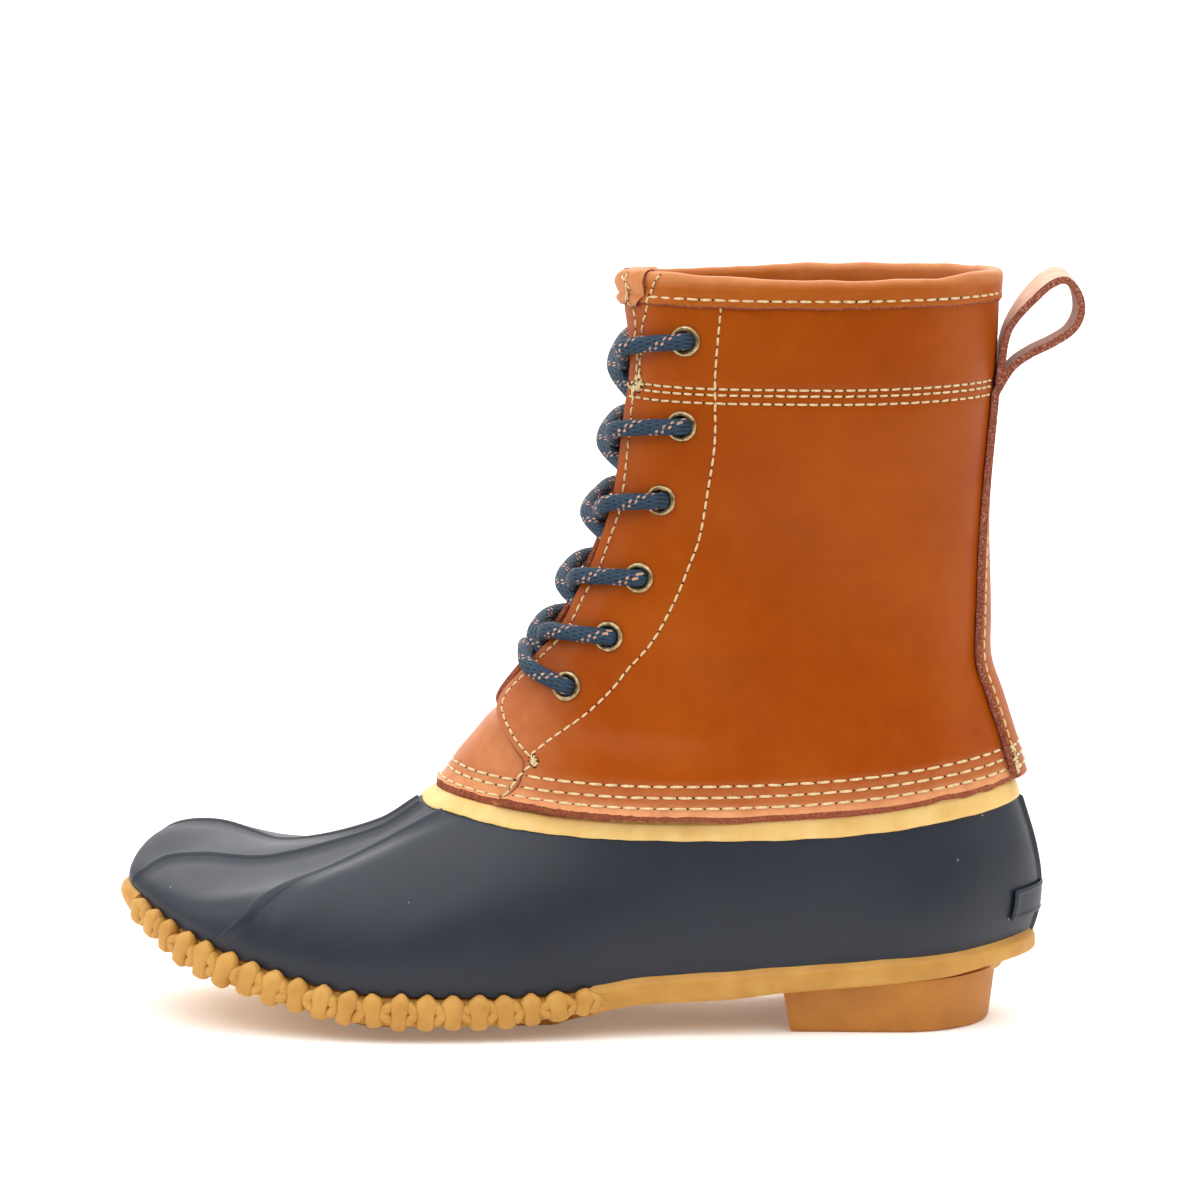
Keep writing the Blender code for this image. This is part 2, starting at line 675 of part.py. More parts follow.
def build_strap(look):
    # Strap down the back, and the pull loop that it makes above: five points across, two faces
    share = np.linspace(-1.0, 1.0, 5)
    top = ring_at(STRAP_LEAVES, lambda at: HEEL_STATION)
    v = np.array([level_v for level_v in SHAFT_LEVELS if level_v < top - 0.2] + [top])
    reach = back_station(v, 0.5 * STRAP_WIDTH)
    u = HEEL_STATION + reach[:, None] * share
    grid_v = np.broadcast_to(v[:, None], u.shape)
    under = GAP + LEATHER + WIDE_GAP
    inner = offset(u, grid_v, under)
    outer = offset(u, grid_v, under + STRAP_LEATHER)
    bow = (outer[-1, 2] - outer[-1, 0])[0]  # how far the strap bows out across its width
    start = 0.5 * (inner[-1, 2] + outer[-1, 2])
    path = smooth_path([(start[0], start[2]), *LOOP_POINTS], 2)[1:]
    travel = np.gradient(path, axis=0)
    travel = travel / np.linalg.norm(travel, axis=1, keepdims=True)
    face = np.column_stack([travel[:, 1], -travel[:, 0]])
    fade = np.linspace(1.0, 0.0, len(path)) ** 3
    free = []
    for side in (-0.5, 0.5):
        middle = path + face * STRAP_LEATHER * side
        x = middle[:, :1] - bow * fade[:, None] * share ** 2
        y = np.broadcast_to(0.5 * STRAP_WIDTH * share, x.shape)
        z = np.broadcast_to(middle[:, 1:], x.shape)
        free.append(np.stack([x, y, z], axis=-1))
    return closed_shell("back_strap", np.vstack([outer, free[1]]), np.vstack([inner, free[0]]), look, wraps=False)


def build_badge(look):
    low = ring_at(BADGE_BOTTOM, lambda at: HEEL_STATION)
    high = ring_at(BADGE_TOP, lambda at: HEEL_STATION)
    v = np.linspace(low, high, 4)
    reach = back_station(v, BADGE_HALF_WIDTH)
    u = HEEL_STATION + reach[:, None] * np.linspace(-1.0, 1.0, 11)
    grid_v = np.broadcast_to(v[:, None], u.shape)
    return closed_shell(
        "heel_plate", offset(u, grid_v, GAP + BADGE_THICK), offset(u, grid_v, GAP), look, wraps=False
    )


def eyelet_places():
    # Side's name, pair, centre on the leather's outer face and outward axis of each eyelet
    places = []
    for side, word in ((1.0, "outer"), (-1.0, "inner")):
        for pair, (y, z) in enumerate(zip(EYELET["y"], EYELET["z"])):
            u, v = spot(side, y, z)
            step = 0.05
            grid_u = u + np.array([0.0, step, -step, 0.0, 0.0])
            grid_v = v + np.array([0.0, 0.0, 0.0, step, -step])
            face = offset(grid_u, grid_v, quarter_inner(grid_u, grid_v) + LEATHER)
            axis = np.cross(face[1] - face[2], face[3] - face[4])
            places.append((word, pair, face[0], axis / np.linalg.norm(axis)))
    return places


def aimed(place, axis):
    turn = Vector((0.0, 0.0, 1.0)).rotation_difference(Vector(axis)).to_matrix().to_4x4()
    return Matrix.Translation(Vector(place)) @ turn


def turned(profile, sides):
    # Rings of points for a profile of (radius, height) turned about Z
    turn = np.linspace(0.0, 2.0 * math.pi, sides, endpoint=False)
    rings = [[(r * math.cos(a), r * math.sin(a), h) for a in turn] for r, h in profile]
    return np.array(rings)


def eyelet_hole(place, axis):
    rings = turned([(EYELET_HOLE, HOLE_LEAD), (EYELET_HOLE, -HOLE_DEPTH)], 12)
    pose = np.array(aimed(place, axis))
    loops = rings @ pose[:3, :3].T + pose[:3, 3]
    return swept("hole", loops, bpy.data.materials["eyelet brass"])


def build_eyelets(look):
    # A rolled flange on the leather's face, with a barrel through the hole
    face = GAP
    profile = [
        (EYELET_BORE, face + EYELET_FLANGE_THICK),
        (EYELET_FLANGE - 0.6, face + EYELET_FLANGE_THICK),
        (EYELET_FLANGE, face),
        (EYELET_BARREL, face),
        (EYELET_BARREL, -LEATHER),
        (EYELET_BORE, -LEATHER),
    ]
    sides = 8
    rings = turned(profile, sides)
    count = len(profile)
    faces = []
    for p in range(count):
        q = (p + 1) % count
        for c in range(sides):
            d = (c + 1) % sides
            faces.append((p * sides + c, p * sides + d, q * sides + d, q * sides + c))
    for word, pair, place, axis in eyelet_places():
        pose = np.array(aimed(place, axis))
        points = rings.reshape(-1, 3) @ pose[:3, :3].T + pose[:3, 3]
        make_object(f"eyelet_{word}_{pair + 1}", points, faces, look)


def lace_strand(side, pair, far_share):
    # From an eyelet's face over the quarter's edge and across the tongue; far_share tells how far the
    # strand falls towards the pair below by the time it nears the other quarter's edge
    z_high = EYELET["z"][pair]
    fall = z_high - EYELET["z"][pair - 1] if pair else 0.0
    over_eyelet = LEATHER + GAP + EYELET_FLANGE_THICK + WIDE_GAP + LACE_RADIUS
    over_tongue = WIDE_GAP + TONGUE_LEATHER + 2.0 * WIDE_GAP + LACE_RADIUS
    stops = []
    eyelet_y = EYELET["y"][pair]
    edge = float(gap_width(z_high))
    between = 0.6 * eyelet_y + 0.4 * edge
    for share, y in ((0.0, eyelet_y - 1.0), (0.4 * EDGE_FALL, between), (EDGE_FALL, edge)):
        u, v = spot(side, y, z_high - fall * share)
        lift = quarter_inner(np.array(u), np.array(v)) + over_eyelet
        stops.append(offset(np.array(u), np.array(v), lift))
    far_edge = float(gap_width(z_high - fall * far_share)) - LACE_RADIUS - 2.0 * GAP
    for share, y in ((0.5, 0.0), (1.0, far_edge)):
        fallen = z_high - fall * (EDGE_FALL + (far_share - EDGE_FALL) * share)
        u, v = spot(-side, y, fallen)
        stops.append(offset(np.array(u), np.array(v), over_tongue))
    return stops


def build_lace(look):
    # The bar between the bottom pair, then a joined crossing at each pair above it
    near = lace_strand(1.0, 0, 0.0)[:4]
    far = lace_strand(-1.0, 0, 0.0)[:3]
    tube("lace_bar", smooth_path(near + far[::-1], 2), LACE_RADIUS, 6, look)
    for pair in range(1, len(EYELET_ROWS)):
        near = smooth_path(lace_strand(1.0, pair, CROSS_FALL), 2)
        far = smooth_path(lace_strand(-1.0, pair, CROSS_FALL), 2)
        first = tube(f"lace_cross_{pair}", near, LACE_RADIUS, 6, look)
        second = tube(f"strand_{pair}", far, LACE_RADIUS, 6, look)
        second.hide_render = True
        second.display_type = "WIRE"
        join = first.modifiers.new("crossing", "BOOLEAN")
        join.operation = "UNION"
        join.solver = "EXACT"
        join.object = second


def main():
    for old in list(bpy.data.objects):
        bpy.data.objects.remove(old)
    gum = material("gum rubber", (0.73, 0.41, 0.10), 0.55, 0.0)
    navy = material("navy rubber", (0.03, 0.036, 0.05), 0.5, 0.0)
    leather = material("tan leather", (0.47, 0.10, 0.015), 0.45, 0.0)
    lining = material("insole felt", (0.45, 0.36, 0.26), 0.9, 0.0)
    brass = material("eyelet brass", (0.30, 0.19, 0.07), 0.4, 1.0)
    cord = material("lace cord", (0.03, 0.07, 0.14), 0.85, 0.0)
    build_outsole(gum)
    build_heel(gum)
    build_rubber(navy)
    build_insole(lining)
    build_tongue(leather)
    build_shaft(leather)
    build_collar(leather)
    build_strap(leather)
    build_badge(navy)
    build_eyelets(brass)
    build_lace(cord)


main()
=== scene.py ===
import math

import bpy
import numpy as np
from mathutils import Matrix, Vector


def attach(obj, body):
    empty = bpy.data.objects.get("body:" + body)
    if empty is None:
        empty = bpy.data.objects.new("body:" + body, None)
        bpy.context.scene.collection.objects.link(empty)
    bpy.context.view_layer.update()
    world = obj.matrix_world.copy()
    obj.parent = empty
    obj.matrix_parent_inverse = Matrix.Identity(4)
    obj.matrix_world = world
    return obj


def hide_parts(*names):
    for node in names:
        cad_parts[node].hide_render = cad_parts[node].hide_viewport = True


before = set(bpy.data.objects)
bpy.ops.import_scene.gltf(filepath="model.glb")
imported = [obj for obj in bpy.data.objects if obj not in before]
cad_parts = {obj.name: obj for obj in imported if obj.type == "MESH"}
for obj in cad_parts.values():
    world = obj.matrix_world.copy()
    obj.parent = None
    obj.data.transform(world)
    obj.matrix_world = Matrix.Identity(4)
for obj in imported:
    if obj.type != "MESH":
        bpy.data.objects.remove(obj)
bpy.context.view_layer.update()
print("stage: frame loaded")

# Left rubber-bottom lace-up boot. The form is worked out in millimetres with the toe at -X, the outer
# side at -Y and the floor at Z = 0; a mesh is moved to the frame's origin and scaled when it is made.
mm = 0.001
middle = np.array([3.42, -0.79, 0.0])  # the frame's origin in the form's own millimetres
draw = np.random.default_rng(7)

boot = {
    "length": 280.0,
    "ballWidth": 98.0,
    "rubberWall": 2.6,
    "leather": 1.9,
    "tongueLeather": 1.7,
    "gap": 0.3,
    "lap": 2.6,  # how far the quarters stand off the form over the tongue
    "lapFade": 13.0,
    "lapEnd": (60.0, -30.0),  # x behind which they lie close, and over what length
}

# Sole heights along X
soleTable = {
    "x": (-147, -138, -130, -115, -100, -85, -62, -45, -25, -8, 6, 18, 45, 62, 90, 110, 126, 142),
    "top": (42.0, 37.2, 33.4, 27.4, 22.3, 17.8, 14.0, 13.4, 13.0, 13.6, 15.4, 17.4, 18.8, 20.2, 21.8, 23.2,
            25.2, 27.2),
    "edge": (34.5, 27.4, 23.8, 16.8, 12.6, 8.8, 4.8, 4.2, 4.2, 6.0, 8.0, 9.8, 11.0, 13.0, 15.0, 16.8, 19.4,
             21.2),
    "under": (33.5, 26.4, 22.8, 15.8, 11.2, 6.2, 0.0, 0.0, 0.0, 0.0, 6.8, 9.4, 10.7, 12.6, 13.8, 14.8, 15.4,
              16.0),
}
# Foot, a column for each station around the boot: toe tip, five outer ones, heel, five inner ones and so on
footTable = {
    "along": (-0.5, -0.458, -0.378, -0.221, -0.071, 0.089, 0.268, 0.411, 0.491, 0.411, 0.268, 0.089, -0.071,
              -0.221, -0.385, -0.466),
    "across": (0.075, -0.155, -0.35, -0.48, -0.456, -0.376, -0.332, -0.262, 0.0, 0.258, 0.318, 0.312, 0.376,
               0.468, 0.428, 0.29),
    "angle": (0, 14, 30, 50, 68, 90, 118, 148, 180, 212, 242, 270, 292, 310, 330, 346),
    "out": (5, 4, 4, 4, 3.5, 4, 4, 6, 6, 6, 4, 4, 4, 4, 4, 8),
    "rise": (15, 15, 15, 19, 18, 16, 16, 16, 15, 16, 16, 18, 20, 26, 34, 45),
    "slope": (33, 40, 36, 52, 70, 82, 82, 78, 72, 78, 82, 82, 70, 52, 46, 44),
    "lead": (52, 60, 38, 27, 20, 16, 16, 18, 20, 18, 16, 16, 20, 28, 48, 64),
    "shelf": (6, 6, 6, 5, 5, 4, 3.5, 5, 10, 5, 3.5, 4, 5, 5, 6, 6),
    "band": (0.965, 0.962, 0.942, 0.92, 0.905, 0.887, 0.872, 0.885, 0.9, 0.885, 0.872, 0.887, 0.905, 0.92,
             0.942, 0.962),  # lower edge of the gum band, in shares of the foot's rise
}
# Ankle and shaft, a column for each ring from the leather's lower edge to its top edge
ringTable = {
    "front": (-44.0, -35.5, -26.0, -16.0, -5.6, 3.6, 10.2, 14.6, 15.8, 15.8),
    "widest": (28, 28, 30, 32, 36, 44, 54, 64, 66, 68),
    "back": (132.0, 128.6, 124.6, 120.5, 120.2, 120.8, 122.0, 123.4, 124.0, 124.4),
    "outer": (38.0, 36.5, 34.5, 33.0, 32.5, 33.0, 34.5, 37.0, 38.0, 38.3),
    "inner": (36.0, 35.0, 33.5, 32.5, 32.0, 33.0, 34.5, 37.0, 38.0, 38.3),
    "middle": (2.0, 1.8, 1.5, 1.2, 1.0, 0.8, 0.5, 0.2, 0.0, 0.0),
    "frontZ": (70.0, 80.5, 92.0, 106.0, 122.0, 144.0, 167.0, 195.0, 210.0, 224.4),
    "sideZ": (65.0, 77.5, 90.0, 105.0, 122.0, 145.0, 168.0, 194.0, 208.8, 223.2),
    "backZ": (74.0, 85.5, 98.0, 110.5, 125.0, 147.0, 169.0, 195.0, 210.0, 224.0),
    "frontRound": (2.0, 2.0, 2.0, 2.0, 2.1, 2.2, 2.5, 2.6, 2.6, 2.6),
    "backRound": (2.4, 2.4, 2.4, 2.4, 2.4, 2.3, 2.2, 2.2, 2.2, 2.2),
}
# Throat at a height: half gap between the quarters and half width of the tongue
throatTable = {
    "z": (64, 70, 76, 80, 84, 88, 92, 95, 98, 105, 112, 116, 123, 131, 139, 148, 155, 161, 188, 204, 211,
          220, 230),
    "gap": (23.0, 24.0, 25.2, 24.6, 21.2, 16.5, 10.6, 7.0, 5.6, 8.0, 10.7, 12.4, 14.4, 15.2, 16.5, 17.2,
            18.3, 19.0, 18.8, 19.6, 18.0, 15.2, 14.0),
    "tongue": (35, 34.2, 33.4, 32, 29, 25.5, 21.5, 20, 19, 18.5, 19, 19.5, 20.5, 21.5, 22.5, 23.5, 24, 25,
               25, 26, 25.5, 25, 25),
}
eyeletTable = {
    "z": (103.8, 119.8, 138.0, 161.8, 184.2, 209.5),
    "y": (23.2, 26.2, 27.8, 29.4, 31.8, 32.8),
}
for table in (soleTable, footTable, ringTable, throatTable, eyeletTable):
    for key in table:
        table[key] = np.array(table[key], dtype=float)
stations = 16
heelStation = 8.0
evenAngle = 360.0 / stations
footTable["drift"] = footTable["angle"] - evenAngle * np.arange(stations)  # from evenly spread stations
ringCount = len(ringTable["front"])
topRing = float(ringCount)


def eased(table, key, name, at):
    # monotone cubic through a column
    x, y = table[key], table[name]
    at = np.clip(np.asarray(at, dtype=float), x[0], x[-1])
    step = np.diff(x)
    slope = np.diff(y) / step
    tangent = np.zeros_like(y)
    sameWay = slope[:-1] * slope[1:] > 0.0
    mean = 2.0 * slope[:-1] * slope[1:] / np.where(sameWay, slope[:-1] + slope[1:], 1.0)
    tangent[1:-1] = np.where(sameWay, mean, 0.0)
    tangent[0], tangent[-1] = slope[0], slope[-1]
    i = np.clip(np.searchsorted(x, at, side="right") - 1, 0, len(x) - 2)
    f = (at - x[i]) / step[i]
    start = (1.0 + 2.0 * f) * (1.0 - f) ** 2 * y[i] + f * (1.0 - f) ** 2 * step[i] * tangent[i]
    end = f ** 2 * (3.0 - 2.0 * f) * y[i + 1] + f ** 2 * (f - 1.0) * step[i] * tangent[i + 1]
    return start + end


def looped(name, u):
    # closed curve through a foot column, one station to each whole u
    column = footTable[name]
    u = np.asarray(u, dtype=float)
    i = np.floor(u).astype(int)
    f = u - i
    before, here, after, beyond = (column[(i + k) % stations] for k in (-1, 0, 1, 2))
    square = (2.0 * before - 5.0 * here + 4.0 * after - beyond) * f ** 2
    cube = (3.0 * here - before - 3.0 * after + beyond) * f ** 3
    return 0.5 * (2.0 * here + (after - before) * f + square + cube)


def ringAngle(u):
    return np.radians(looped("drift", u) + evenAngle * np.asarray(u, dtype=float))


def outline(u):
    return np.stack([boot["length"] * looped("along", u), boot["ballWidth"] * looped("across", u)], axis=-1)


def outward(curve, u, step):
    # level unit normal of a plan curve
    travel = curve(u + step)[..., :2] - curve(u - step)[..., :2]
    normal = np.stack([travel[..., 1], -travel[..., 0]], axis=-1)
    return normal / np.linalg.norm(normal, axis=-1, keepdims=True)


def level(vector):
    return np.concatenate([vector, np.zeros(vector.shape[:-1] + (1,))], axis=-1)


def ringPoint(index, angle):
    row = {name: ringTable[name][index] for name in ringTable}
    c, s = np.cos(angle), np.sin(angle)
    isFront = c > 0.0
    power = 2.0 / np.where(isFront, row["frontRound"], row["backRound"])
    reach = np.where(isFront, row["front"], row["back"]) - row["widest"]
    half = np.where(s > 0.0, row["outer"], row["inner"])
    x = row["widest"] + reach * np.abs(c) ** power
    y = row["middle"] - half * np.sign(s) * np.abs(s) ** power
    endZ = np.where(isFront, row["frontZ"], row["backZ"])
    return np.stack([x, y, row["sideZ"] + (endZ - row["sideZ"]) * c ** 2], axis=-1)


def soleHeight(name, x):
    return eased(soleTable, "x", name, x)


def surface(u, v):
    # the boot's form: v runs 0 to 1 over the foot, then one ring to each whole number
    u, v = np.broadcast_arrays(np.asarray(u, dtype=float), np.asarray(v, dtype=float))
    angle = ringAngle(u)
    rings = np.stack([ringPoint(i, angle) for i in range(ringCount)])
    plan = outline(u)
    base = np.concatenate([plan, (soleHeight("top", plan[..., 0]) + boot["gap"])[..., None]], axis=-1)
    up = np.array([0.0, 0.0, 1.0])
    rise = level(outward(outline, u, 0.01)) * looped("out", u)[..., None]
    rise = rise + up * looped("rise", u)[..., None]
    inward = -level(outward(lambda a: ringPoint(0, a), angle, 0.001))
    slope = np.radians(looped("slope", u))[..., None]
    lean = np.cos(slope) * inward + np.sin(slope) * up
    f = np.clip(v, 0.0, 1.0)[..., None]
    foot = base * (1.0 - f) ** 3 + (base + rise) * 3.0 * f * (1.0 - f) ** 2
    hold = rings[0] - looped("lead", u)[..., None] * lean
    foot = foot + hold * 3.0 * f ** 2 * (1.0 - f) + rings[0] * f ** 3
    tangents = np.empty_like(rings)
    tangents[0] = lean * np.linalg.norm(rings[1] - rings[0], axis=-1, keepdims=True)
    tangents[1:-1] = 0.5 * (rings[2:] - rings[:-2])
    tangents[-1] = rings[-1] - rings[-2]
    i = np.clip(np.floor(v - 1.0).astype(int), 0, ringCount - 2)
    g = (v - 1.0 - i)[..., None]
    pick = np.indices(i.shape)
    low, high = rings[(i, *pick)], rings[(i + 1, *pick)]
    lowTangent, highTangent = tangents[(i, *pick)], tangents[(i + 1, *pick)]
    shaft = (1.0 + 2.0 * g) * (1.0 - g) ** 2 * low + g * (1.0 - g) ** 2 * lowTangent
    shaft = shaft + g ** 2 * (3.0 - 2.0 * g) * high + g ** 2 * (g - 1.0) * highTangent
    return np.where((v <= 1.0)[..., None], foot, shaft)


def normals(u, v):
    step = 0.004
    around = surface(u + step, v) - surface(u - step, v)
    upward = surface(u, np.clip(v + step, 0.0, topRing)) - surface(u, np.clip(v - step, 0.0, topRing))
    normal = np.cross(around, upward)
    return normal / np.linalg.norm(normal, axis=-1, keepdims=True)


def lifted(u, v, distance):
    u, v, distance = np.broadcast_arrays(*(np.asarray(k, dtype=float) for k in (u, v, distance)))
    return surface(u, v) + normals(u, v) * distance[..., None]


def gapWidth(z):
    return eased(throatTable, "z", "gap", z)


def tongueWidth(z):
    return eased(throatTable, "z", "tongue", z)


def halved(low, high, isBeyond):
    # search by halves for the place where isBeyond turns true
    for _ in range(30):
        at = 0.5 * (low + high)
        beyond = isBeyond(at)
        high = np.where(beyond, at, high)
        low = np.where(beyond, low, at)
    return 0.5 * (low + high)


def frontStation(v, side, halfWidth):
    # station on a side, 1 outer and -1 inner, where the form is halfWidth(z) from the middle plane
    def isBeyond(u):
        point = surface(side * u, v)
        return -side * point[..., 1] > halfWidth(point[..., 2])
    return side * halved(np.zeros_like(v), np.full_like(v, 5.0), isBeyond)


def backStation(v, halfWidth):
    # how many stations from the heel the form is halfWidth from the middle plane
    return halved(np.zeros_like(v), np.full_like(v, 2.0),
                  lambda u: np.abs(surface(heelStation - u, v)[..., 1]) > halfWidth)


def throatStation(v, side, past):
    # station on a side, at one v, that is past the throat's edge by a distance
    return frontStation(np.array([v]), side, lambda z: gapWidth(z) + past)[0]


def ringAt(z, u):
    # v at a height on a station
    z = np.asarray(z, dtype=float)
    u = np.broadcast_to(np.asarray(u, dtype=float), z.shape)
    return halved(np.full_like(z, 0.05), np.full_like(z, topRing), lambda v: surface(u, v)[..., 2] > z)


def solved(axes, target, u, v):
    # Newton's method for the (u, v) whose two named coordinates are the target's
    step = 0.002
    for _ in range(14):
        miss = surface(u, v)[..., axes] - target
        byU = (surface(u + step, v) - surface(u - step, v))[..., axes] / (2.0 * step)
        byV = (surface(u, v + step) - surface(u, v - step))[..., axes] / (2.0 * step)
        det = byU[..., 0] * byV[..., 1] - byU[..., 1] * byV[..., 0]
        det = np.where(np.abs(det) < 1e-6, 1e-6, det)
        u = u - np.clip((miss[..., 0] * byV[..., 1] - miss[..., 1] * byV[..., 0]) / det, -0.3, 0.3)
        v = v - np.clip((byU[..., 0] * miss[..., 1] - byU[..., 1] * miss[..., 0]) / det, -0.3, 0.3)
        v = np.clip(v, 0.02, topRing - 0.003)
    return u, v


def firstRing(z):
    return 1.0 + np.interp(z, ringTable["sideZ"], np.arange(ringCount))


def sideSpot(side, x, z):
    # (u, v) on a side at a length and a height
    x, z = np.asarray(x, dtype=float), np.asarray(z, dtype=float)
    v = firstRing(z)
    u = halved(np.full_like(x, 0.5), np.full_like(x, 7.6), lambda at: surface(side * at, v)[..., 0] > x)
    return solved([0, 2], np.stack([x, z], axis=-1), side * u, v)


def frontSpot(side, y, z):
    # (u, v) on a side at a distance from the middle plane and a height
    y, z = np.asarray(y, dtype=float), np.asarray(z, dtype=float)
    return solved([1, 2], np.stack([-side * y, z], axis=-1), np.full_like(y, side * 2.0), firstRing(z))


def smoothStep(share):
    share = np.clip(share, 0.0, 1.0)
    return share ** 2 * (3.0 - 2.0 * share)


def grows(value, start, length):
    # from 0 at the start to 1 a length on; a negative length runs the other way
    return smoothStep((value - start) / length)


def bump(distance, width):
    # soft hump of height 1
    return np.exp(-(distance / width) ** 2)


def smoothPath(points, perSpan):
    # Catmull-Rom curve through points
    points = np.asarray(points, dtype=float)
    padded = np.vstack([2.0 * points[0] - points[1], points, 2.0 * points[-1] - points[-2]])
    f = (np.arange(perSpan) / perSpan)[:, None]
    path = []
    for i in range(1, len(padded) - 2):
        a, b, c, d = padded[i - 1:i + 3]
        square = (2.0 * a - 5.0 * b + 4.0 * c - d) * f ** 2
        cube = (3.0 * b - a - 3.0 * c + d) * f ** 3
        path.append(0.5 * (2.0 * b + (c - a) * f + square + cube))
    return np.vstack([*path, points[-1:]])


def runLength(path):
    return np.concatenate([[0.0], np.cumsum(np.linalg.norm(np.diff(path, axis=0), axis=1))])


def evenly(path, step):
    # the path's points at even steps, as near the step as fits
    run = runLength(path)
    count = max(2, round(run[-1] / step) + 1)
    at = np.linspace(0.0, run[-1], count)
    return np.stack([np.interp(at, run, path[:, k]) for k in range(path.shape[1])], axis=1)


def nearLine(points, line):
    # distance of each point from a line of points, and which side of it the point is on
    best = np.full(points.shape[:-1], 1e9)
    side = np.zeros(points.shape[:-1])
    for a, b in zip(line[:-1], line[1:]):
        run = b - a
        share = np.clip(((points - a) @ run) / (run @ run), 0.0, 1.0)
        away = points - (a + share[..., None] * run)
        distance = np.linalg.norm(away, axis=-1)
        turn = run[0] * away[..., 1] - run[1] * away[..., 0]
        side = np.where(distance < best, np.sign(turn), side)
        best = np.minimum(best, distance)
    return best, side


def ripple(points, size, seed):
    # smooth wandering number between about -1 and 1, size in millimetres
    turns = np.random.default_rng(seed)
    total = np.zeros(points.shape[:-1])
    for share in (1.0, 0.6, 0.35):
        wave = turns.normal(size=3)
        wave = wave / np.linalg.norm(wave) * 2.0 * math.pi / (size * share)
        total = total + share * np.sin(points @ wave + turns.uniform(0.0, 6.3))
    return total / 1.6


# Meshes
def deselectAll():
    if bpy.context.object and bpy.context.object.mode != "OBJECT":
        bpy.ops.object.mode_set(mode="OBJECT")
    bpy.ops.object.select_all(action="DESELECT")


def picked(piece):
    # makes a piece the only one selected
    deselectAll()
    piece.select_set(True)
    bpy.context.view_layer.objects.active = piece


def mended(piece, merges=True, caps=False, turns=True):
    # merges points that lie together, caps open ends and turns the faces outwards
    picked(piece)
    bpy.ops.object.mode_set(mode="EDIT")
    bpy.ops.mesh.select_all(action="SELECT")
    if merges:
        bpy.ops.mesh.remove_doubles(threshold=0.000002)
    if caps:
        bpy.ops.mesh.fill_holes(sides=0)
        bpy.ops.mesh.select_all(action="SELECT")
    if turns:
        bpy.ops.mesh.normals_make_consistent(inside=False)
    bpy.ops.object.mode_set(mode="OBJECT")


def placed(points):
    return (np.asarray(points, dtype=float) - middle) * mm


def gridSheet(name, points, wraps=False, looks=None):
    # a grid primitive whose points are laid on a sheet of places (rows, columns); wraps closes it around,
    # and looks has the number of each face's material
    rows, cols = points.shape[:2]
    deselectAll()
    bpy.ops.mesh.primitive_grid_add(x_subdivisions=cols - 1, y_subdivisions=rows - 1, size=2.0)
    sheet = bpy.context.object
    sheet.name = name
    flat = np.empty(rows * cols * 3)
    sheet.data.vertices.foreach_get("co", flat)
    flat = flat.reshape(-1, 3)
    col = np.rint((flat[:, 0] + 1.0) * 0.5 * (cols - 1)).astype(int)
    row = np.rint((flat[:, 1] + 1.0) * 0.5 * (rows - 1)).astype(int)
    sheet.data.vertices.foreach_set("co", placed(points[row, col]).ravel())
    if looks is not None:
        sheet.data.polygons.foreach_set("material_index", looks.ravel())
    sheet.data.update()
    if wraps:
        mended(sheet, turns=False)
    return sheet


def edgeRows(points, rows, ends=0):
    # face numbers of a sheet with its first rows, and maybe its end columns, in the second look
    looks = np.zeros((points.shape[0] - 1, points.shape[1] - 1), dtype=np.int32)
    looks[:rows] = 1
    if ends:
        looks[:, :ends] = 1
        looks[:, -ends:] = 1
    return looks


def loopMesh(name, points, faces, uv=None):
    # a mesh of many like shapes from arrays: points (n, 3) in millimetres, faces as lists of numbers
    mesh = bpy.data.meshes.new(name)
    mesh.from_pydata(placed(points).tolist(), [], faces)
    piece = bpy.data.objects.new(name, mesh)
    bpy.context.scene.collection.objects.link(piece)
    if uv is not None:
        layer = mesh.uv_layers.new(name="UVMap")
        corner = np.empty(len(mesh.loops), dtype=int)
        mesh.loops.foreach_get("vertex_index", corner)
        layer.data.foreach_set("uv", uv[corner].ravel())
    mesh.update()
    return piece


def applied(piece, kind, **settings):
    # adds a modifier with its settings and applies it
    picked(piece)
    added = piece.modifiers.new(kind.lower(), kind)
    for key, value in settings.items():
        setattr(added, key, value)
    bpy.ops.object.modifier_apply(modifier=added.name)


def smoothed(piece, degrees=40.0):
    picked(piece)
    bpy.ops.object.shade_smooth_by_angle(angle=math.radians(degrees))


def joined(name, pieces):
    deselectAll()
    for piece in pieces:
        piece.select_set(True)
    bpy.context.view_layer.objects.active = pieces[0]
    bpy.ops.object.join()
    pieces[0].name = name
    return pieces[0]


def marked(piece, name, values):
    # a number on each point, for the piece's material
    layer = piece.data.attributes.new(name, "FLOAT", "POINT")
    layer.data.foreach_set("value", np.asarray(values, dtype=float).ravel())


def coordinates(piece):
    flat = np.empty(len(piece.data.vertices) * 3)
    piece.data.vertices.foreach_get("co", flat)
    return flat.reshape(-1, 3) / mm + middle


def painted(piece, *looks):
    for look in looks:
        piece.data.materials.append(look)


def dressed(piece, looks, replaced=()):
    painted(piece, *looks)
    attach(piece, "root")
    if replaced:
        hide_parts(*replaced)


def shell(piece, thickness, rimLook=1, innerLook=2):
    # gives a sheet its wall, inwards, with other looks for its cut edges and its inner face
    applied(piece, "SOLIDIFY", thickness=thickness * mm, offset=-1.0, use_rim=True,
            material_offset_rim=rimLook, material_offset=innerLook)


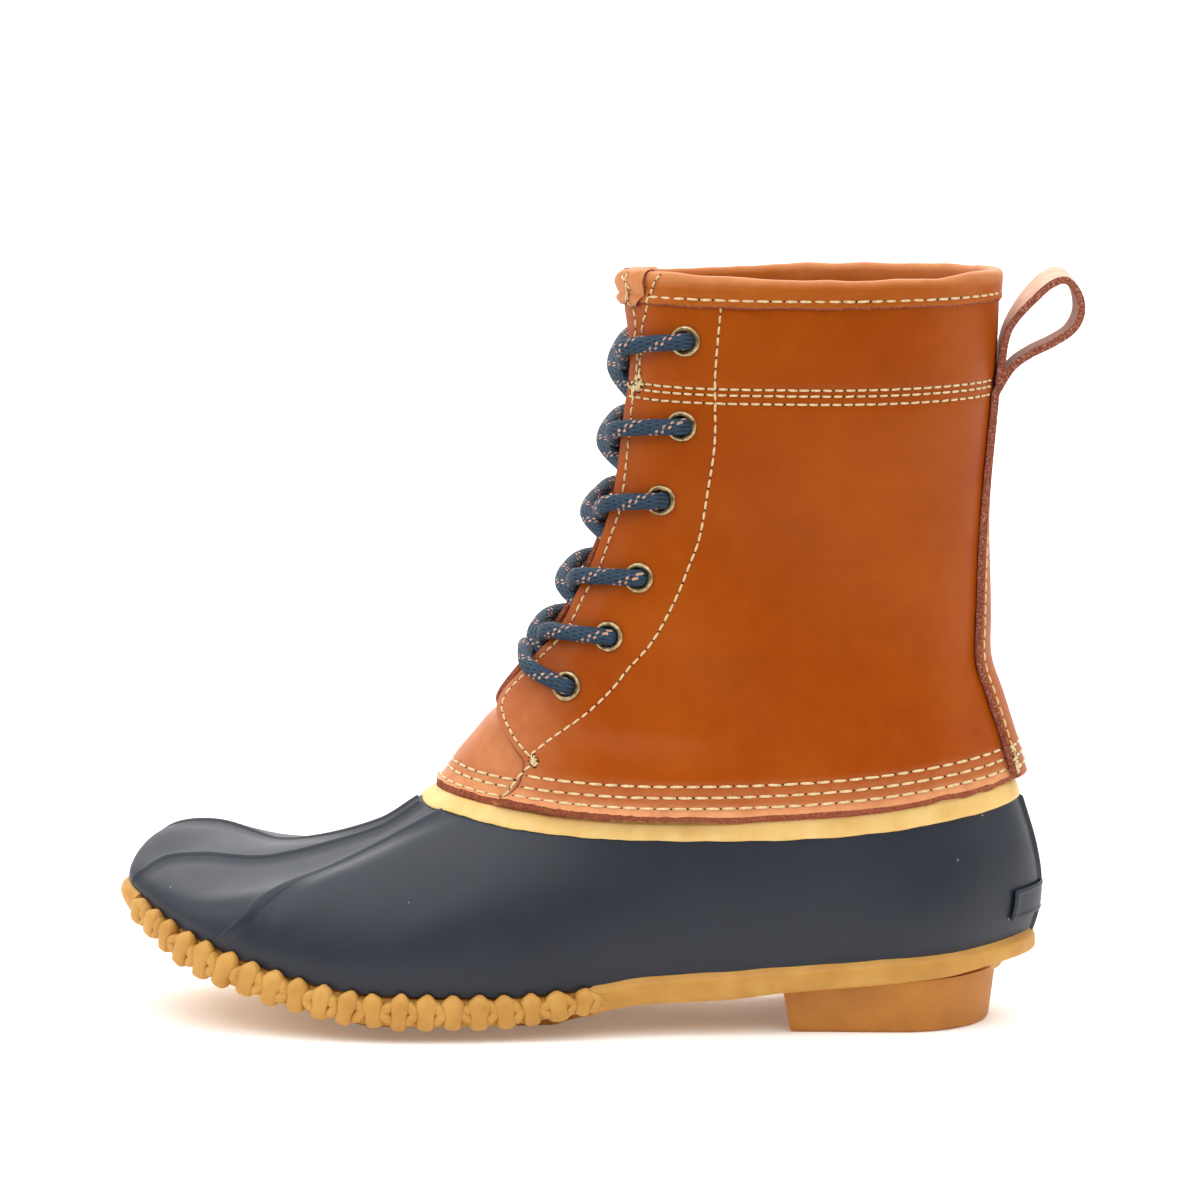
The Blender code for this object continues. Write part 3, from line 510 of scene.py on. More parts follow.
def tubeArrays(path, radius, sides):
    # rings of points around a path, UVs of turns around it and girths along it, and its length
    travel = np.gradient(path, axis=0)
    travel = travel / np.linalg.norm(travel, axis=1, keepdims=True)
    right = np.cross(travel[0], [0.31, 0.17, 0.93])
    rings = []
    turn = np.linspace(0.0, 2.0 * math.pi, sides + 1)
    for point, way in zip(path, travel):
        right = right - way * (right @ way)
        right = right / np.linalg.norm(right)
        over = np.cross(way, right)
        rings.append(point + radius * (np.cos(turn)[:, None] * right + np.sin(turn)[:, None] * over))
    run = runLength(path)
    girths = run[:, None] / (2.0 * math.pi * radius)
    uv = np.stack(np.broadcast_arrays(turn / (2.0 * math.pi), girths), axis=-1)
    return np.array(rings), uv, run[-1]


def gridFaces(rows, cols):
    # faces of a grid of points
    r, c = np.meshgrid(np.arange(rows - 1), np.arange(cols - 1), indexing="ij")
    low = (r * cols + c).ravel()
    return np.stack([low, low + 1, low + cols + 1, low + cols], axis=1).tolist()


def ringFaces(count, sides):
    # faces of a stack of rings of points, and of the caps on its ends
    faces = []
    for low in range(0, (count - 1) * sides, sides):
        for c in range(sides):
            d = (c + 1) % sides
            faces.append((low + c, low + d, low + sides + d, low + sides + c))
    faces.append(tuple(range(sides - 1, -1, -1)))
    faces.append(tuple(range((count - 1) * sides, count * sides)))
    return faces


def heaped(pile, points, faces):
    # adds a small shape to a pile of shapes that becomes one mesh
    pile["faces"] += [tuple(pile["count"] + c for c in face) for face in faces]
    pile["points"].append(points)
    pile["count"] += len(points)


def pileMesh(name, pile):
    return loopMesh(name, np.concatenate(pile["points"]), pile["faces"])


def standing(place, axis):
    # turns a shape's Z to an axis and moves it to a place
    turn = Vector((0.0, 0.0, 1.0)).rotation_difference(Vector(axis)).to_matrix().to_4x4()
    return Matrix.Translation(Vector(placed(place))) @ turn


# Looks
def tint(code):
    # sRGB hex to linear
    parts = [int(code[k:k + 2], 16) / 255.0 for k in (1, 3, 5)]
    return (*(c / 12.92 if c <= 0.04045 else ((c + 0.055) / 1.055) ** 2.4 for c in parts), 1.0)


def addNode(tree, kind, inputs=None, stops=None, **settings):
    # one node with its settings, its inputs as values or links, and its colour stops if it has them
    made = tree.nodes.new("ShaderNode" + kind)
    for key, value in settings.items():
        setattr(made, key, value)
    for key, value in (inputs or {}).items():
        if isinstance(value, bpy.types.NodeSocket):
            tree.links.new(value, made.inputs[key])
        else:
            made.inputs[key].default_value = value
    if stops:
        points = made.color_ramp.elements
        while len(points) < len(stops):
            points.new(0.5)
        for point, (at, colour) in zip(points, stops):
            point.position = at
            point.color = tint(colour)
    return made.outputs


def started(name, roughness, ior=None):
    look = bpy.data.materials.new(name)
    look.use_nodes = True
    tree = look.node_tree
    shader = tree.nodes["Principled BSDF"]
    shader.inputs["Roughness"].default_value = roughness
    if ior:
        shader.inputs["IOR"].default_value = ior
    place = addNode(tree, "TexCoord")["Object"]
    return look, tree, shader, place


def perMm(size):
    # texture scale for a feature of a size in millimetres
    return 1.0 / (size * mm)


def waxedHide(name, dark, mid, light, rough=0.38):
    # Chrome-tanned cowhide with a waxed finish: even, faintly mottled, with soft wide highlights, painted
    # paler where a point attribute marks it: partly rubbed wear at its edges, partly painted highlight.
    # Pores are drawn at 0.9 mm, about three times too coarse
    look, tree, shader, place = started(name, rough, 1.32)
    cloud = addNode(tree, "TexNoise", {"Vector": place, "Scale": perMm(38.0), "Detail": 2.0})["Fac"]
    mottle = addNode(tree, "TexNoise", {"Vector": place, "Scale": perMm(5.0), "Detail": 4.0})["Fac"]
    share = addNode(tree, "Math", {0: mottle, 1: 0.3, 2: 0.0}, operation="MULTIPLY_ADD")[0]
    share = addNode(tree, "Math", {0: cloud, 1: 0.7, 2: share}, operation="MULTIPLY_ADD")[0]
    body = addNode(tree, "ValToRGB", {"Fac": share}, stops=((0.32, dark), (0.68, mid)))["Color"]
    # the pale marks: rubbed wear and painted highlights
    wornAndLit = addNode(tree, "Attribute", attribute_name="wornAndLit")["Fac"]
    uneven = addNode(tree, "Math", {0: mottle, 1: 0.8, 2: 0.45}, operation="MULTIPLY_ADD")[0]
    patch = addNode(tree, "Math", {0: wornAndLit, 1: uneven}, operation="MULTIPLY")[0]
    colour = addNode(tree, "Mix", {0: patch, 6: body, 7: tint(light)}, data_type="RGBA")[2]
    tree.links.new(colour, shader.inputs["Base Color"])
    dulled = addNode(tree, "Math", {0: mottle, 1: 0.12, 2: rough - 0.06}, operation="MULTIPLY_ADD")[0]
    dulled = addNode(tree, "Math", {0: wornAndLit, 1: 0.12, 2: dulled}, operation="MULTIPLY_ADD")[0]
    tree.links.new(dulled, shader.inputs["Roughness"])
    pores = addNode(tree, "TexVoronoi", {"Vector": place, "Scale": perMm(0.9)})["Distance"]
    grain = addNode(tree, "TexNoise", {"Vector": place, "Scale": perMm(2.6), "Detail": 4.0})["Fac"]
    fine = addNode(tree, "Bump", {"Height": pores, "Distance": 0.05 * mm, "Strength": 0.22})["Normal"]
    creases = {"Height": grain, "Distance": 0.12 * mm, "Strength": 0.16, "Normal": fine}
    both = addNode(tree, "Bump", creases)["Normal"]
    tree.links.new(both, shader.inputs["Normal"])
    shader.inputs["Specular Tint"].default_value = (1.0, 0.8, 0.58, 1.0)  # the wax carries the stain
    return look


def cutEdge(name, dark, light, pale):
    # Raw cut edge of thick hide: dry and fibrous, dark red-brown with paler fibres and a few pale tufts
    look, tree, shader, place = started(name, 0.9, 1.45)
    frayed = {"Vector": place, "Scale": perMm(0.6), "Detail": 4.0, "Roughness": 0.65}
    fibre = addNode(tree, "TexNoise", frayed)["Fac"]
    stops = ((0.34, dark), (0.56, light), (0.72, pale))
    colour = addNode(tree, "ValToRGB", {"Fac": fibre}, stops=stops)["Color"]
    tree.links.new(colour, shader.inputs["Base Color"])
    rough = addNode(tree, "Bump", {"Height": fibre, "Distance": 0.5 * mm, "Strength": 0.8})["Normal"]
    tree.links.new(rough, shader.inputs["Normal"])
    return look


def fleshSide(name, dark, light):
    # Flesh side of a hide, or a brushed lining: matt, with a short nap
    look, tree, shader, place = started(name, 0.92, 1.45)
    brushed = {"Vector": place, "Scale": perMm(1.4), "Detail": 5.0, "Roughness": 0.7}
    nap = addNode(tree, "TexNoise", brushed)["Fac"]
    cloud = addNode(tree, "TexNoise", {"Vector": place, "Scale": perMm(14.0), "Detail": 2.0})["Fac"]
    share = addNode(tree, "Mix", {0: 0.4, 2: nap, 3: cloud}, data_type="FLOAT")[0]
    colour = addNode(tree, "ValToRGB", {"Fac": share}, stops=((0.35, dark), (0.65, light)))["Color"]
    tree.links.new(colour, shader.inputs["Base Color"])
    shader.inputs["Sheen Weight"].default_value = 0.25
    furry = addNode(tree, "Bump", {"Height": nap, "Distance": 0.25 * mm, "Strength": 0.5})["Normal"]
    tree.links.new(furry, shader.inputs["Normal"])
    return look


def mouldedRubber(name, dark, mid):
    # Compression-moulded rubber: navy, near black, with a soft grey bloom, flow marks and a little dust
    look, tree, shader, place = started(name, 0.4, 1.5)
    cloud = addNode(tree, "TexNoise", {"Vector": place, "Scale": perMm(42.0), "Detail": 3.0})["Fac"]
    streak = addNode(tree, "TexNoise", {"Vector": place, "Scale": perMm(7.0), "Detail": 4.0})["Fac"]
    share = addNode(tree, "Mix", {0: 0.4, 2: cloud, 3: streak}, data_type="FLOAT")[0]
    body = addNode(tree, "ValToRGB", {"Fac": share}, stops=((0.3, dark), (0.7, mid)))["Color"]
    cells = addNode(tree, "TexVoronoi", {"Vector": place, "Scale": perMm(7.5)})
    speck = addNode(tree, "Math", {0: cells["Distance"], 1: 0.045}, operation="LESS_THAN")[0]
    chance = addNode(tree, "SeparateColor", {"Color": cells["Color"]})["Red"]
    chosen = addNode(tree, "Math", {0: chance, 1: 0.8}, operation="GREATER_THAN")[0]
    dust = addNode(tree, "Math", {0: speck, 1: chosen}, operation="MULTIPLY")[0]
    dust = addNode(tree, "Math", {0: dust, 1: 0.6}, operation="MULTIPLY")[0]
    colour = addNode(tree, "Mix", {0: dust, 6: body, 7: tint("#9a9890")}, data_type="RGBA")[2]
    tree.links.new(colour, shader.inputs["Base Color"])
    dulled = addNode(tree, "Math", {0: streak, 1: 0.14, 2: 0.43}, operation="MULTIPLY_ADD")[0]
    tree.links.new(dulled, shader.inputs["Roughness"])
    skin = addNode(tree, "TexNoise", {"Vector": place, "Scale": perMm(1.1), "Detail": 3.0})["Fac"]
    fine = addNode(tree, "Bump", {"Height": skin, "Distance": 0.04 * mm, "Strength": 0.2})["Normal"]
    tree.links.new(fine, shader.inputs["Normal"])
    return look


def gumRubber(name, dark, mid, light, rough=0.55):
    # Gum rubber: milky ochre and satin, clouded from the mould
    look, tree, shader, place = started(name, rough, 1.5)
    cloud = addNode(tree, "TexNoise", {"Vector": place, "Scale": perMm(9.0), "Detail": 4.0})["Fac"]
    grain = addNode(tree, "TexNoise", {"Vector": place, "Scale": perMm(0.8), "Detail": 3.0})["Fac"]
    stops = ((0.3, dark), (0.52, mid), (0.74, light))
    colour = addNode(tree, "ValToRGB", {"Fac": cloud}, stops=stops)["Color"]
    tree.links.new(colour, shader.inputs["Base Color"])
    shader.inputs["Subsurface Weight"].default_value = 0.12
    shader.inputs["Subsurface Radius"].default_value = (1.0, 0.5, 0.25)
    shader.inputs["Subsurface Scale"].default_value = 2.0 * mm
    fine = addNode(tree, "Bump", {"Height": grain, "Distance": 0.06 * mm, "Strength": 0.3})["Normal"]
    clouded = {"Height": cloud, "Distance": 0.3 * mm, "Strength": 0.15, "Normal": fine}
    both = addNode(tree, "Bump", clouded)["Normal"]
    tree.links.new(both, shader.inputs["Normal"])
    return look


def antiqueBrass(name):
    # Toned brass plate: warm and dulled, brown in its hollows
    look, tree, shader, place = started(name, 0.36)
    shader.inputs["Metallic"].default_value = 1.0
    tarnish = addNode(tree, "TexNoise", {"Vector": place, "Scale": perMm(1.6), "Detail": 4.0})["Fac"]
    stops = ((0.3, "#7d6a48"), (0.52, "#b89f74"), (0.75, "#d8c6a2"))
    colour = addNode(tree, "ValToRGB", {"Fac": tarnish}, stops=stops)["Color"]
    tree.links.new(colour, shader.inputs["Base Color"])
    dulled = addNode(tree, "Math", {0: tarnish, 1: 0.3, 2: 0.22}, operation="MULTIPLY_ADD")[0]
    tree.links.new(dulled, shader.inputs["Roughness"])
    pitted = addNode(tree, "Bump", {"Height": tarnish, "Distance": 0.05 * mm, "Strength": 0.25})["Normal"]
    tree.links.new(pitted, shader.inputs["Normal"])
    return look


def braidedCord(name):
    # Braided polyester cord: a navy sheath of crossing bundles with pairs of beige flecks winding along it.
    # The bundles are drawn 12 to the turn each way, about half the real count, so that they show
    look, tree, shader, place = started(name, 0.7, 1.5)
    uv = addNode(tree, "UVMap", uv_map="UVMap")["UV"]
    parts = addNode(tree, "SeparateXYZ", {"Vector": uv})
    turn, along = parts["X"], parts["Y"]
    waves = []
    for way in (3.4, -3.4):
        part = addNode(tree, "Math", {0: along, 1: way * 2.0 * math.pi}, operation="MULTIPLY")[0]
        both = addNode(tree, "Math", {0: turn, 1: 24.0 * math.pi, 2: part}, operation="MULTIPLY_ADD")[0]
        waves.append(addNode(tree, "Math", {0: both}, operation="SINE")[0])
    weave = addNode(tree, "Math", {0: waves[0], 1: waves[1]}, operation="MAXIMUM")[0]
    raised = addNode(tree, "Math", {0: weave, 1: 0.5, 2: 0.5}, operation="MULTIPLY_ADD")[0]
    # the bundles are painted darker where the weave is low: painted shade in the gaps between them
    stops = ((0.2, "#08151f"), (0.6, "#0e2639"), (0.95, "#1a3f59"))
    body = addNode(tree, "ValToRGB", {"Fac": raised}, stops=stops)["Color"]
    drift = addNode(tree, "Math", {0: along, 1: 1.16}, operation="MULTIPLY")[0]
    wind = addNode(tree, "Math", {0: turn, 1: 2.0, 2: drift}, operation="MULTIPLY_ADD")[0]
    wind = addNode(tree, "Math", {0: wind}, operation="FRACT")[0]
    flecks = []
    for row, start in ((0.42, 0.0), (0.58, 0.25)):
        pace = addNode(tree, "Math", {0: along, 1: 6.4, 2: start}, operation="MULTIPLY_ADD")[0]
        pace = addNode(tree, "Math", {0: pace}, operation="FRACT")[0]
        inRow = addNode(tree, "Math", {0: wind, 1: row, 2: 0.055}, operation="COMPARE")[0]
        inStep = addNode(tree, "Math", {0: pace, 1: 0.5, 2: 0.18}, operation="COMPARE")[0]
        flecks.append(addNode(tree, "Math", {0: inRow, 1: inStep}, operation="MULTIPLY")[0])
    fleck = addNode(tree, "Math", {0: flecks[0], 1: flecks[1]}, operation="MAXIMUM")[0]
    # the flecks are dimmed where the weave is low: painted shade
    woven = addNode(tree, "Math", {0: raised, 1: 0.5, 2: 0.5}, operation="MULTIPLY_ADD")[0]
    fleck = addNode(tree, "Math", {0: fleck, 1: woven}, operation="MULTIPLY")[0]
    colour = addNode(tree, "Mix", {0: fleck, 6: body, 7: tint("#d4a286")}, data_type="RGBA")[2]
    tree.links.new(colour, shader.inputs["Base Color"])
    knit = addNode(tree, "Bump", {"Height": raised, "Distance": 0.3 * mm, "Strength": 0.6})["Normal"]
    tree.links.new(knit, shader.inputs["Normal"])
    return look


def sewingThread(name, dark, light):
    # Waxed bonded thread: cream, plied, slightly hairy
    look, tree, shader, place = started(name, 0.62, 1.5)
    ply = addNode(tree, "TexNoise", {"Vector": place, "Scale": perMm(0.9), "Detail": 3.0})["Fac"]
    colour = addNode(tree, "ValToRGB", {"Fac": ply}, stops=((0.3, dark), (0.6, light)))["Color"]
    tree.links.new(colour, shader.inputs["Base Color"])
    shader.inputs["Sheen Weight"].default_value = 0.2
    plied = addNode(tree, "Bump", {"Height": ply, "Distance": 0.15 * mm, "Strength": 0.5})["Normal"]
    tree.links.new(plied, shader.inputs["Normal"])
    return look


def needlePunch(name):
    # Mouth of a needle's hole: a dark, dull disc, painted shade inside the hole
    look, tree, shader, place = started(name, 0.9, 1.45)
    shade = addNode(tree, "TexNoise", {"Vector": place, "Scale": perMm(0.6), "Detail": 2.0})["Fac"]
    colour = addNode(tree, "ValToRGB", {"Fac": shade}, stops=((0.3, "#1c0c05"), (0.7, "#3c1c0c")))["Color"]
    tree.links.new(colour, shader.inputs["Base Color"])
    return look


hide = waxedHide("waxed cowhide", "#9a4004", "#a94e07", "#e49e6e")
hideRoll = waxedHide("waxed cowhide rolled", "#a85214", "#b86222", "#d8925e")
hideStrap = waxedHide("strap hide grain side", "#9c4a10", "#ae5a1e", "#dcb69c", 0.5)
edgeLook = cutEdge("cut hide edge", "#663022", "#a85f48", "#dab29c")
flangeEdge = cutEdge("cut hide edge paler", "#6c2c16", "#a25438", "#c08660")
flesh = fleshSide("hide flesh side", "#96563a", "#b87a5c")
lining = fleshSide("brushed shaft lining", "#a8602c", "#c47c42")
navy = mouldedRubber("moulded navy rubber", "#121824", "#1a2230")
navyInside = fleshSide("rubber foot lining", "#2a2a2c", "#3a393a")
gum = gumRubber("gum rubber", "#b98334", "#c48f3d", "#cc9a48")
gumBand = gumRubber("gum rubber band", "#e2b566", "#ebc376", "#f0cd88", 0.5)
gumDarkEdge = gumRubber("darker gum rubber edge", "#4c4630", "#6e6444", "#978654", 0.6)
gumHeel = gumRubber("gum rubber heel", "#ab6a1b", "#b37120", "#ba7926", 0.6)
brass = antiqueBrass("antique brass")
cordLook = braidedCord("braided lace cord")
thread = sewingThread("cream waxed thread", "#d0b078", "#ecd6a4")
punch = needlePunch("needle hole")
felt = fleshSide("pressed wool felt", "#8a7a60", "#b6a585")
print("stage: looks ready")

# Rubber foot
rubber = {
    "wall": boot["rubberWall"],
    "ridgeHeight": 0.4,  # soft swelling under a ridge
    "upper": 1.5,  # width of the swelling's upper flank and of its lower one
    "lower": 2.4,
    "hollow": 0.25,  # depth of the soft trough along a ridge's lower side
    "hollowAway": 4.2,
    "hollowWidth": 2.6,
    "fadeIn": (-2.0, 14.0),  # from a ridge's front end: where its swelling starts, and over what length
    "narrows": (20.0, -16.0),  # the same for the narrowing of one that is wide in front
    "ribHeight": 1.3,  # the rib down the heel
    "ribWidth": 1.1,
    "ribSoft": 0.55,
    "ribFrom": (115.0, 8.0),
    "top": 1.9,  # v of its upper edge, under the leather
    "underBand": 0.006,  # the relief fades out under the gum band, in v
    "bandFade": 0.02,
    "toeAt": (-136.0, 18.0),  # the rounder toe: its middle, width, height, and v over which it grows
    "toeWidth": 13.0,
    "toeRise": 1.7,
    "toeFoot": 0.12,
    # the lower instep: its depth, its two ends along x, its start across y, and v over which it grows
    "drop": 2.0,
    "dropFrom": (-116.0, 22.0),
    "dropTo": (-48.0, -14.0),
    "dropSide": (-22.0, 22.0),
    "dropFoot": 0.3,
    "fineEnd": 3.3,  # stations either side of the toe's tip that have close columns
    "columns": (290, 76, 15),  # how many: round the toe, round the rest, and over the heel's rib
    "ribHalf": 0.16,
    "rows": (104, 8),  # on the foot and under the leather
    # the three ridges over the toe, from its rim to the band: station and v
    "ridges": (
        ((-0.72, 0.2), (-0.88, 0.3), (-0.95, 0.42), (-0.82, 0.55), (-0.45, 0.67), (-0.14, 0.77),
         (0.04, 0.87), (0.16, 0.96)),
        ((0.33, 0.03), (0.3, 0.19), (0.1, 0.32), (0.1, 0.42), (0.24, 0.56), (0.28, 0.66), (0.3, 0.77),
         (0.41, 0.87), (0.58, 0.96)),
        ((1.9, 0.01), (1.97, 0.12), (1.93, 0.26), (1.67, 0.47), (1.33, 0.67), (1.19, 0.79), (1.3, 0.86),
         (1.55, 0.912), (1.74, 0.95)),
    ),
    # the ridge itself: towards the outer side, and height
    "crest": ((-1.0, -0.3), (-0.8, 0.25), (-0.5, 0.6), (-0.15, 0.72), (0.3, 0.62), (0.8, 0.34), (1.25, 0.0),
              (1.7, -0.3)),
    "crestWidth": ((0.75, 0.75), (0.8, 0.8), (2.2, 1.0)),  # of each ridge, at its front end and at the band
    "crestNarrows": (34.0, -30.0),  # along a ridge
    "crestRises": (-4.0, 10.0),
    "crestStep": 0.8,
}


def ridgeLine(index):
    return smoothPath(np.array(rubber["ridges"][index]), 8)


def rubberRelief(points):
    # swellings under the ridges of the vamp, and the rib down the heel, as heights over the form
    plan = points[..., :2]
    total = np.zeros(points.shape[:-1])
    for index, (frontWide, _) in enumerate(rubber["crestWidth"]):
        path = surface(*ridgeLine(index).T)[:, :2]
        distance, side = nearLine(plan, path)
        front = plan[..., 0] - path[0, 0]
        wide = 1.0 + max(frontWide - 1.0, 0.0) * grows(front, *rubber["narrows"])
        isUpper = side > 0.0
        crest = bump(distance, np.where(isUpper, rubber["upper"], rubber["lower"]) * wide)
        trough = bump(distance - rubber["hollowAway"] * wide, rubber["hollowWidth"] * wide)
        hollow = np.where(isUpper, 0.0, trough)
        fade = grows(front, *rubber["fadeIn"])
        total = total + fade * (rubber["ridgeHeight"] * crest - rubber["hollow"] * hollow)
    isBack = grows(points[..., 0], *rubber["ribFrom"])
    flat = np.clip(np.abs(points[..., 1]) - 0.5 * rubber["ribWidth"], 0.0, None)
    return total + isBack * rubber["ribHeight"] * bump(flat, rubber["ribSoft"])


def rubberSkin(u, v):
    # outer face of the rubber foot, with a rounder toe and a lower instep than the plain form
    form = surface(u, v)
    bare = smoothStep((looped("band", u) + rubber["underBand"] - v) / rubber["bandFade"])
    skin = form + normals(u, v) * (rubberRelief(form) * bare)[..., None]
    x, y = form[..., 0], form[..., 1]
    toeX, toeY = rubber["toeAt"]
    toe = rubber["toeRise"] * bump(np.hypot(x - toeX, y - toeY), rubber["toeWidth"])
    toe = toe * smoothStep(v / rubber["toeFoot"])
    drop = grows(x, *rubber["dropFrom"]) * grows(x, *rubber["dropTo"]) * grows(y, *rubber["dropSide"])
    skin[..., 2] += toe - rubber["drop"] * drop * smoothStep(v / rubber["dropFoot"]) * bare
    return skin


def makeRidges():
    pieces = []
    for index, (frontWide, rearWide) in enumerate(rubber["crestWidth"]):
        line = ridgeLine(index)
        run = runLength(rubberSkin(*line.T))
        at = np.arange(0.0, run[-1], rubber["crestStep"])
        u, v = (np.interp(at, run, line[:, k]) for k in (0, 1))
        skin = rubberSkin(u, v)
        travel = np.gradient(skin, axis=0)
        travel = travel / np.linalg.norm(travel, axis=1, keepdims=True)
        up = normals(u, v)
        across = np.cross(travel, up)
        wide = rearWide + (frontWide - rearWide) * grows(at, *rubber["crestNarrows"])
        tall = grows(at, *rubber["crestRises"]) * (0.7 + 0.3 * wide)
        rows = []
        for side, height in rubber["crest"]:
            rise = np.where(height > 0.0, height * tall, height)
            rows.append(skin + across * (side * wide)[:, None] + up * rise[:, None])
        pieces.append(gridSheet(f"rubber_ridge_{index}", np.array(rows).transpose(1, 0, 2)))
    piece = joined("rubber_ridges", pieces)
    smoothed(piece, 70.0)
    dressed(piece, (navy,))


def makeRubber():
    end, rib = rubber["fineEnd"], rubber["ribHalf"]
    fineCount, restCount, ribCount = rubber["columns"]
    footRows, topRows = rubber["rows"]
    fine = np.linspace(-end, end, fineCount)
    rest = np.linspace(end, stations - end, restCount)
    backs = heelStation + np.linspace(-rib, rib, ribCount)
    u = np.unique(np.round(np.concatenate([fine, rest, backs]), 4))
    u = np.append(u[u < stations - end - 0.001], stations - end)
    v = np.concatenate([np.linspace(0.0, 1.0, footRows), np.linspace(1.06, rubber["top"], topRows)])
    gridU, gridV = np.meshgrid(u, v)
    piece = gridSheet("rubber_foot", rubberSkin(gridU, gridV), wraps=True)
    painted(piece, navy, navyInside)
    shell(piece, rubber["wall"], rimLook=1, innerLook=1)
    smoothed(piece)
    dressed(piece, (), ("rubber_lower",))


# Gum band round the top of the rubber
rimStations = np.linspace(0.0, stations, 361)  # of the band's columns and the sole's
band = {
    "proud": 0.75,
    "ragged": (0.13, 0.05),  # long and short waves of its lower edge
    "end": 1.005,  # v at its top
    # share of the way up and height, from its lower edge to under the leather
    "profile": ((0.0, 0.02), (0.0, 0.5), (0.05, 0.82), (0.14, 1.0), (0.45, 1.05), (0.8, 1.0), (0.9, 0.8),
                (1.0, 0.3), (1.3, 0.3)),
}


def makeBand():
    low = looped("band", rimStations)
    longWave, shortWave = band["ragged"]
    rows = []
    for share, height in band["profile"]:
        point = lifted(rimStations, low + (band["end"] - low) * share, band["proud"] * height)
        if share < 0.1:
            point[:, 2] += longWave * ripple(point, 9.0, 3) + shortWave * ripple(point, 2.0, 4)
        rows.append(point)
    rows = np.array(rows)
    # the lowest row of faces, the step at the band's lower edge, takes a darker look
    piece = gridSheet("gum_band", rows, wraps=True, looks=edgeRows(rows, 1))
    smoothed(piece, 60.0)
    dressed(piece, (gumBand, gumDarkEdge))


# Sole plate and its rim
sole = {
    "rim": 2.0,  # how far it stands out past the rubber
    "roundOver": 1.7,
    "wander": 0.25,
    "lip": 0.9,  # how far its inner edge laps up on to the rubber
    "chainEnd": 6.0,  # x where the chain ends, and the length over which the rim gives way to it
    "chainFade": -6.0,
    "chainIn": 2.6,  # how far the edge is drawn in behind the chain, and how much wider its shelf is there
    "chainShelf": 18.0,
}


def soleRing(u, distance, height):
    plan = outline(u)
    spot = plan + outward(outline, u, 0.01) * np.broadcast_to(distance, u.shape)[:, None]
    z = soleHeight(height, spot[:, 0]) if isinstance(height, str) else height
    return np.concatenate([spot, np.broadcast_to(z, u.shape)[:, None]], axis=1)


def acrossSheet(name, ring, count):
    # sheet across a closed ring, from its outer half to its inner half
    half = len(ring) // 2
    left = ring[:half + 1]
    right = ring[np.arange(len(ring), half - 1, -1) % len(ring)]
    share = np.linspace(0.0, 1.0, count)[None, :, None]
    return gridSheet(name, left[:, None] * (1.0 - share) + right[:, None] * share)


def makeSole():
    u = rimStations
    plan = outline(u)
    top = soleHeight("top", plan[:, 0])
    edge = soleHeight("edge", plan[:, 0])
    isChain = grows(plan[:, 0], sole["chainEnd"], sole["chainFade"])
    shelf = looped("shelf", u) + sole["chainShelf"] * isChain
    out = sole["rim"] - sole["chainIn"] * isChain
    r = sole["roundOver"]
    wave = sole["wander"] * ripple(np.concatenate([plan, top[:, None]], axis=1), 26.0, 9)
    lip = soleRing(u, 0.05 - sole["lip"] * isChain, top + sole["lip"] * (1.0 - isChain) + wave)
    rows = [soleRing(u, -6.0, "top"), soleRing(u, -2.4, top + 0.05), lip]
    for angle in np.radians((70.0, 45.0, 20.0, 0.0)):
        rows.append(soleRing(u, out - r * (1.0 - math.cos(angle)), top + wave - r + r * math.sin(angle)))
    for angle in np.radians((0.0, 25.0, 50.0, 75.0, 90.0)):
        rows.append(soleRing(u, out - r * (1.0 - math.cos(angle)), edge + r - r * math.sin(angle)))
    inner = sole["rim"] - shelf
    rows.append(soleRing(u, inner + 0.6, edge))
    rows.append(soleRing(u, inner, np.minimum(edge, soleHeight("under", plan[:, 0]) + 0.8)))
    rows.append(soleRing(u, inner - 0.7, "under"))
    rim = gridSheet("sole_plate", np.array(rows[::-1]), wraps=True)
    bottom = acrossSheet("sole_bottom", rows[-1][:-1], 9)
    lid = acrossSheet("sole_lid", rows[0][:-1], 9)
    piece = joined("sole_plate", [rim, bottom, lid])
    mended(piece)
    smoothed(piece, 50.0)
    dressed(piece, (gum,), ("outsole",))


# Chain of links along the front of the rim, and the smooth bumper at the toe's tip
chain = {
    "pitch": 7.75,
    "width": 6.5,
    "depth": 5.6,
    "bumperHalf": 13.0,
    "stand": 1.3,  # how far a link's middle stands out past the rubber's foot line
    "over": 1.3,  # how far its top laps on to the rubber, and its foot goes below the sole's edge
    "below": 0.3,
    "tipShare": 0.62,  # height of the links at the toe's tip, and how many stations on they are full
    "tipReach": 1.9,
    "square": 0.64,  # how near a link's section is to a square
    "linkJitter": (0.06, 0.05, 0.03, 0.13),  # of breadth, depth, height and lean
    "alongJitter": 0.25,  # of the strands
    "leanJitter": 0.08,
    "heightJitter": 0.015,
    "otherFold": -0.6,  # lean of each third pair of strands to the rest
    "strandRim": 11.0,  # height of the rim that the strands' heights are given for
    # an upright link: share of its height, then its breadth and depth there
    "link": ((0.0, 0.3, 0.3), (0.03, 0.6, 0.56), (0.1, 0.84, 0.84), (0.25, 0.86, 0.96), (0.42, 0.86, 1.0),
             (0.58, 1.02, 1.0), (0.72, 1.1, 0.94), (0.84, 0.86, 0.8), (0.93, 0.52, 0.55), (1.0, 0.2, 0.2)),
    # the folded strands that join two links: height share, length, height and depth, how far back, and lean
    "strands": ((0.57, 7.6, 3.6, 5.6, 0.35, -0.8), (0.37, 7.6, 3.6, 5.6, 0.2, 0.8),
                (0.47, 5.0, 5.6, 4.4, 1.2, 0.1)),
    # the bumper: out past the rubber and share of its height
    "bumper": ((-1.6, 0.12), (0.4, 0.0), (1.7, 0.07), (2.5, 0.26), (2.9, 0.5), (2.6, 0.7), (1.9, 0.88),
               (0.9, 0.99), (-0.2, 1.0), (-1.6, 0.86)),
}


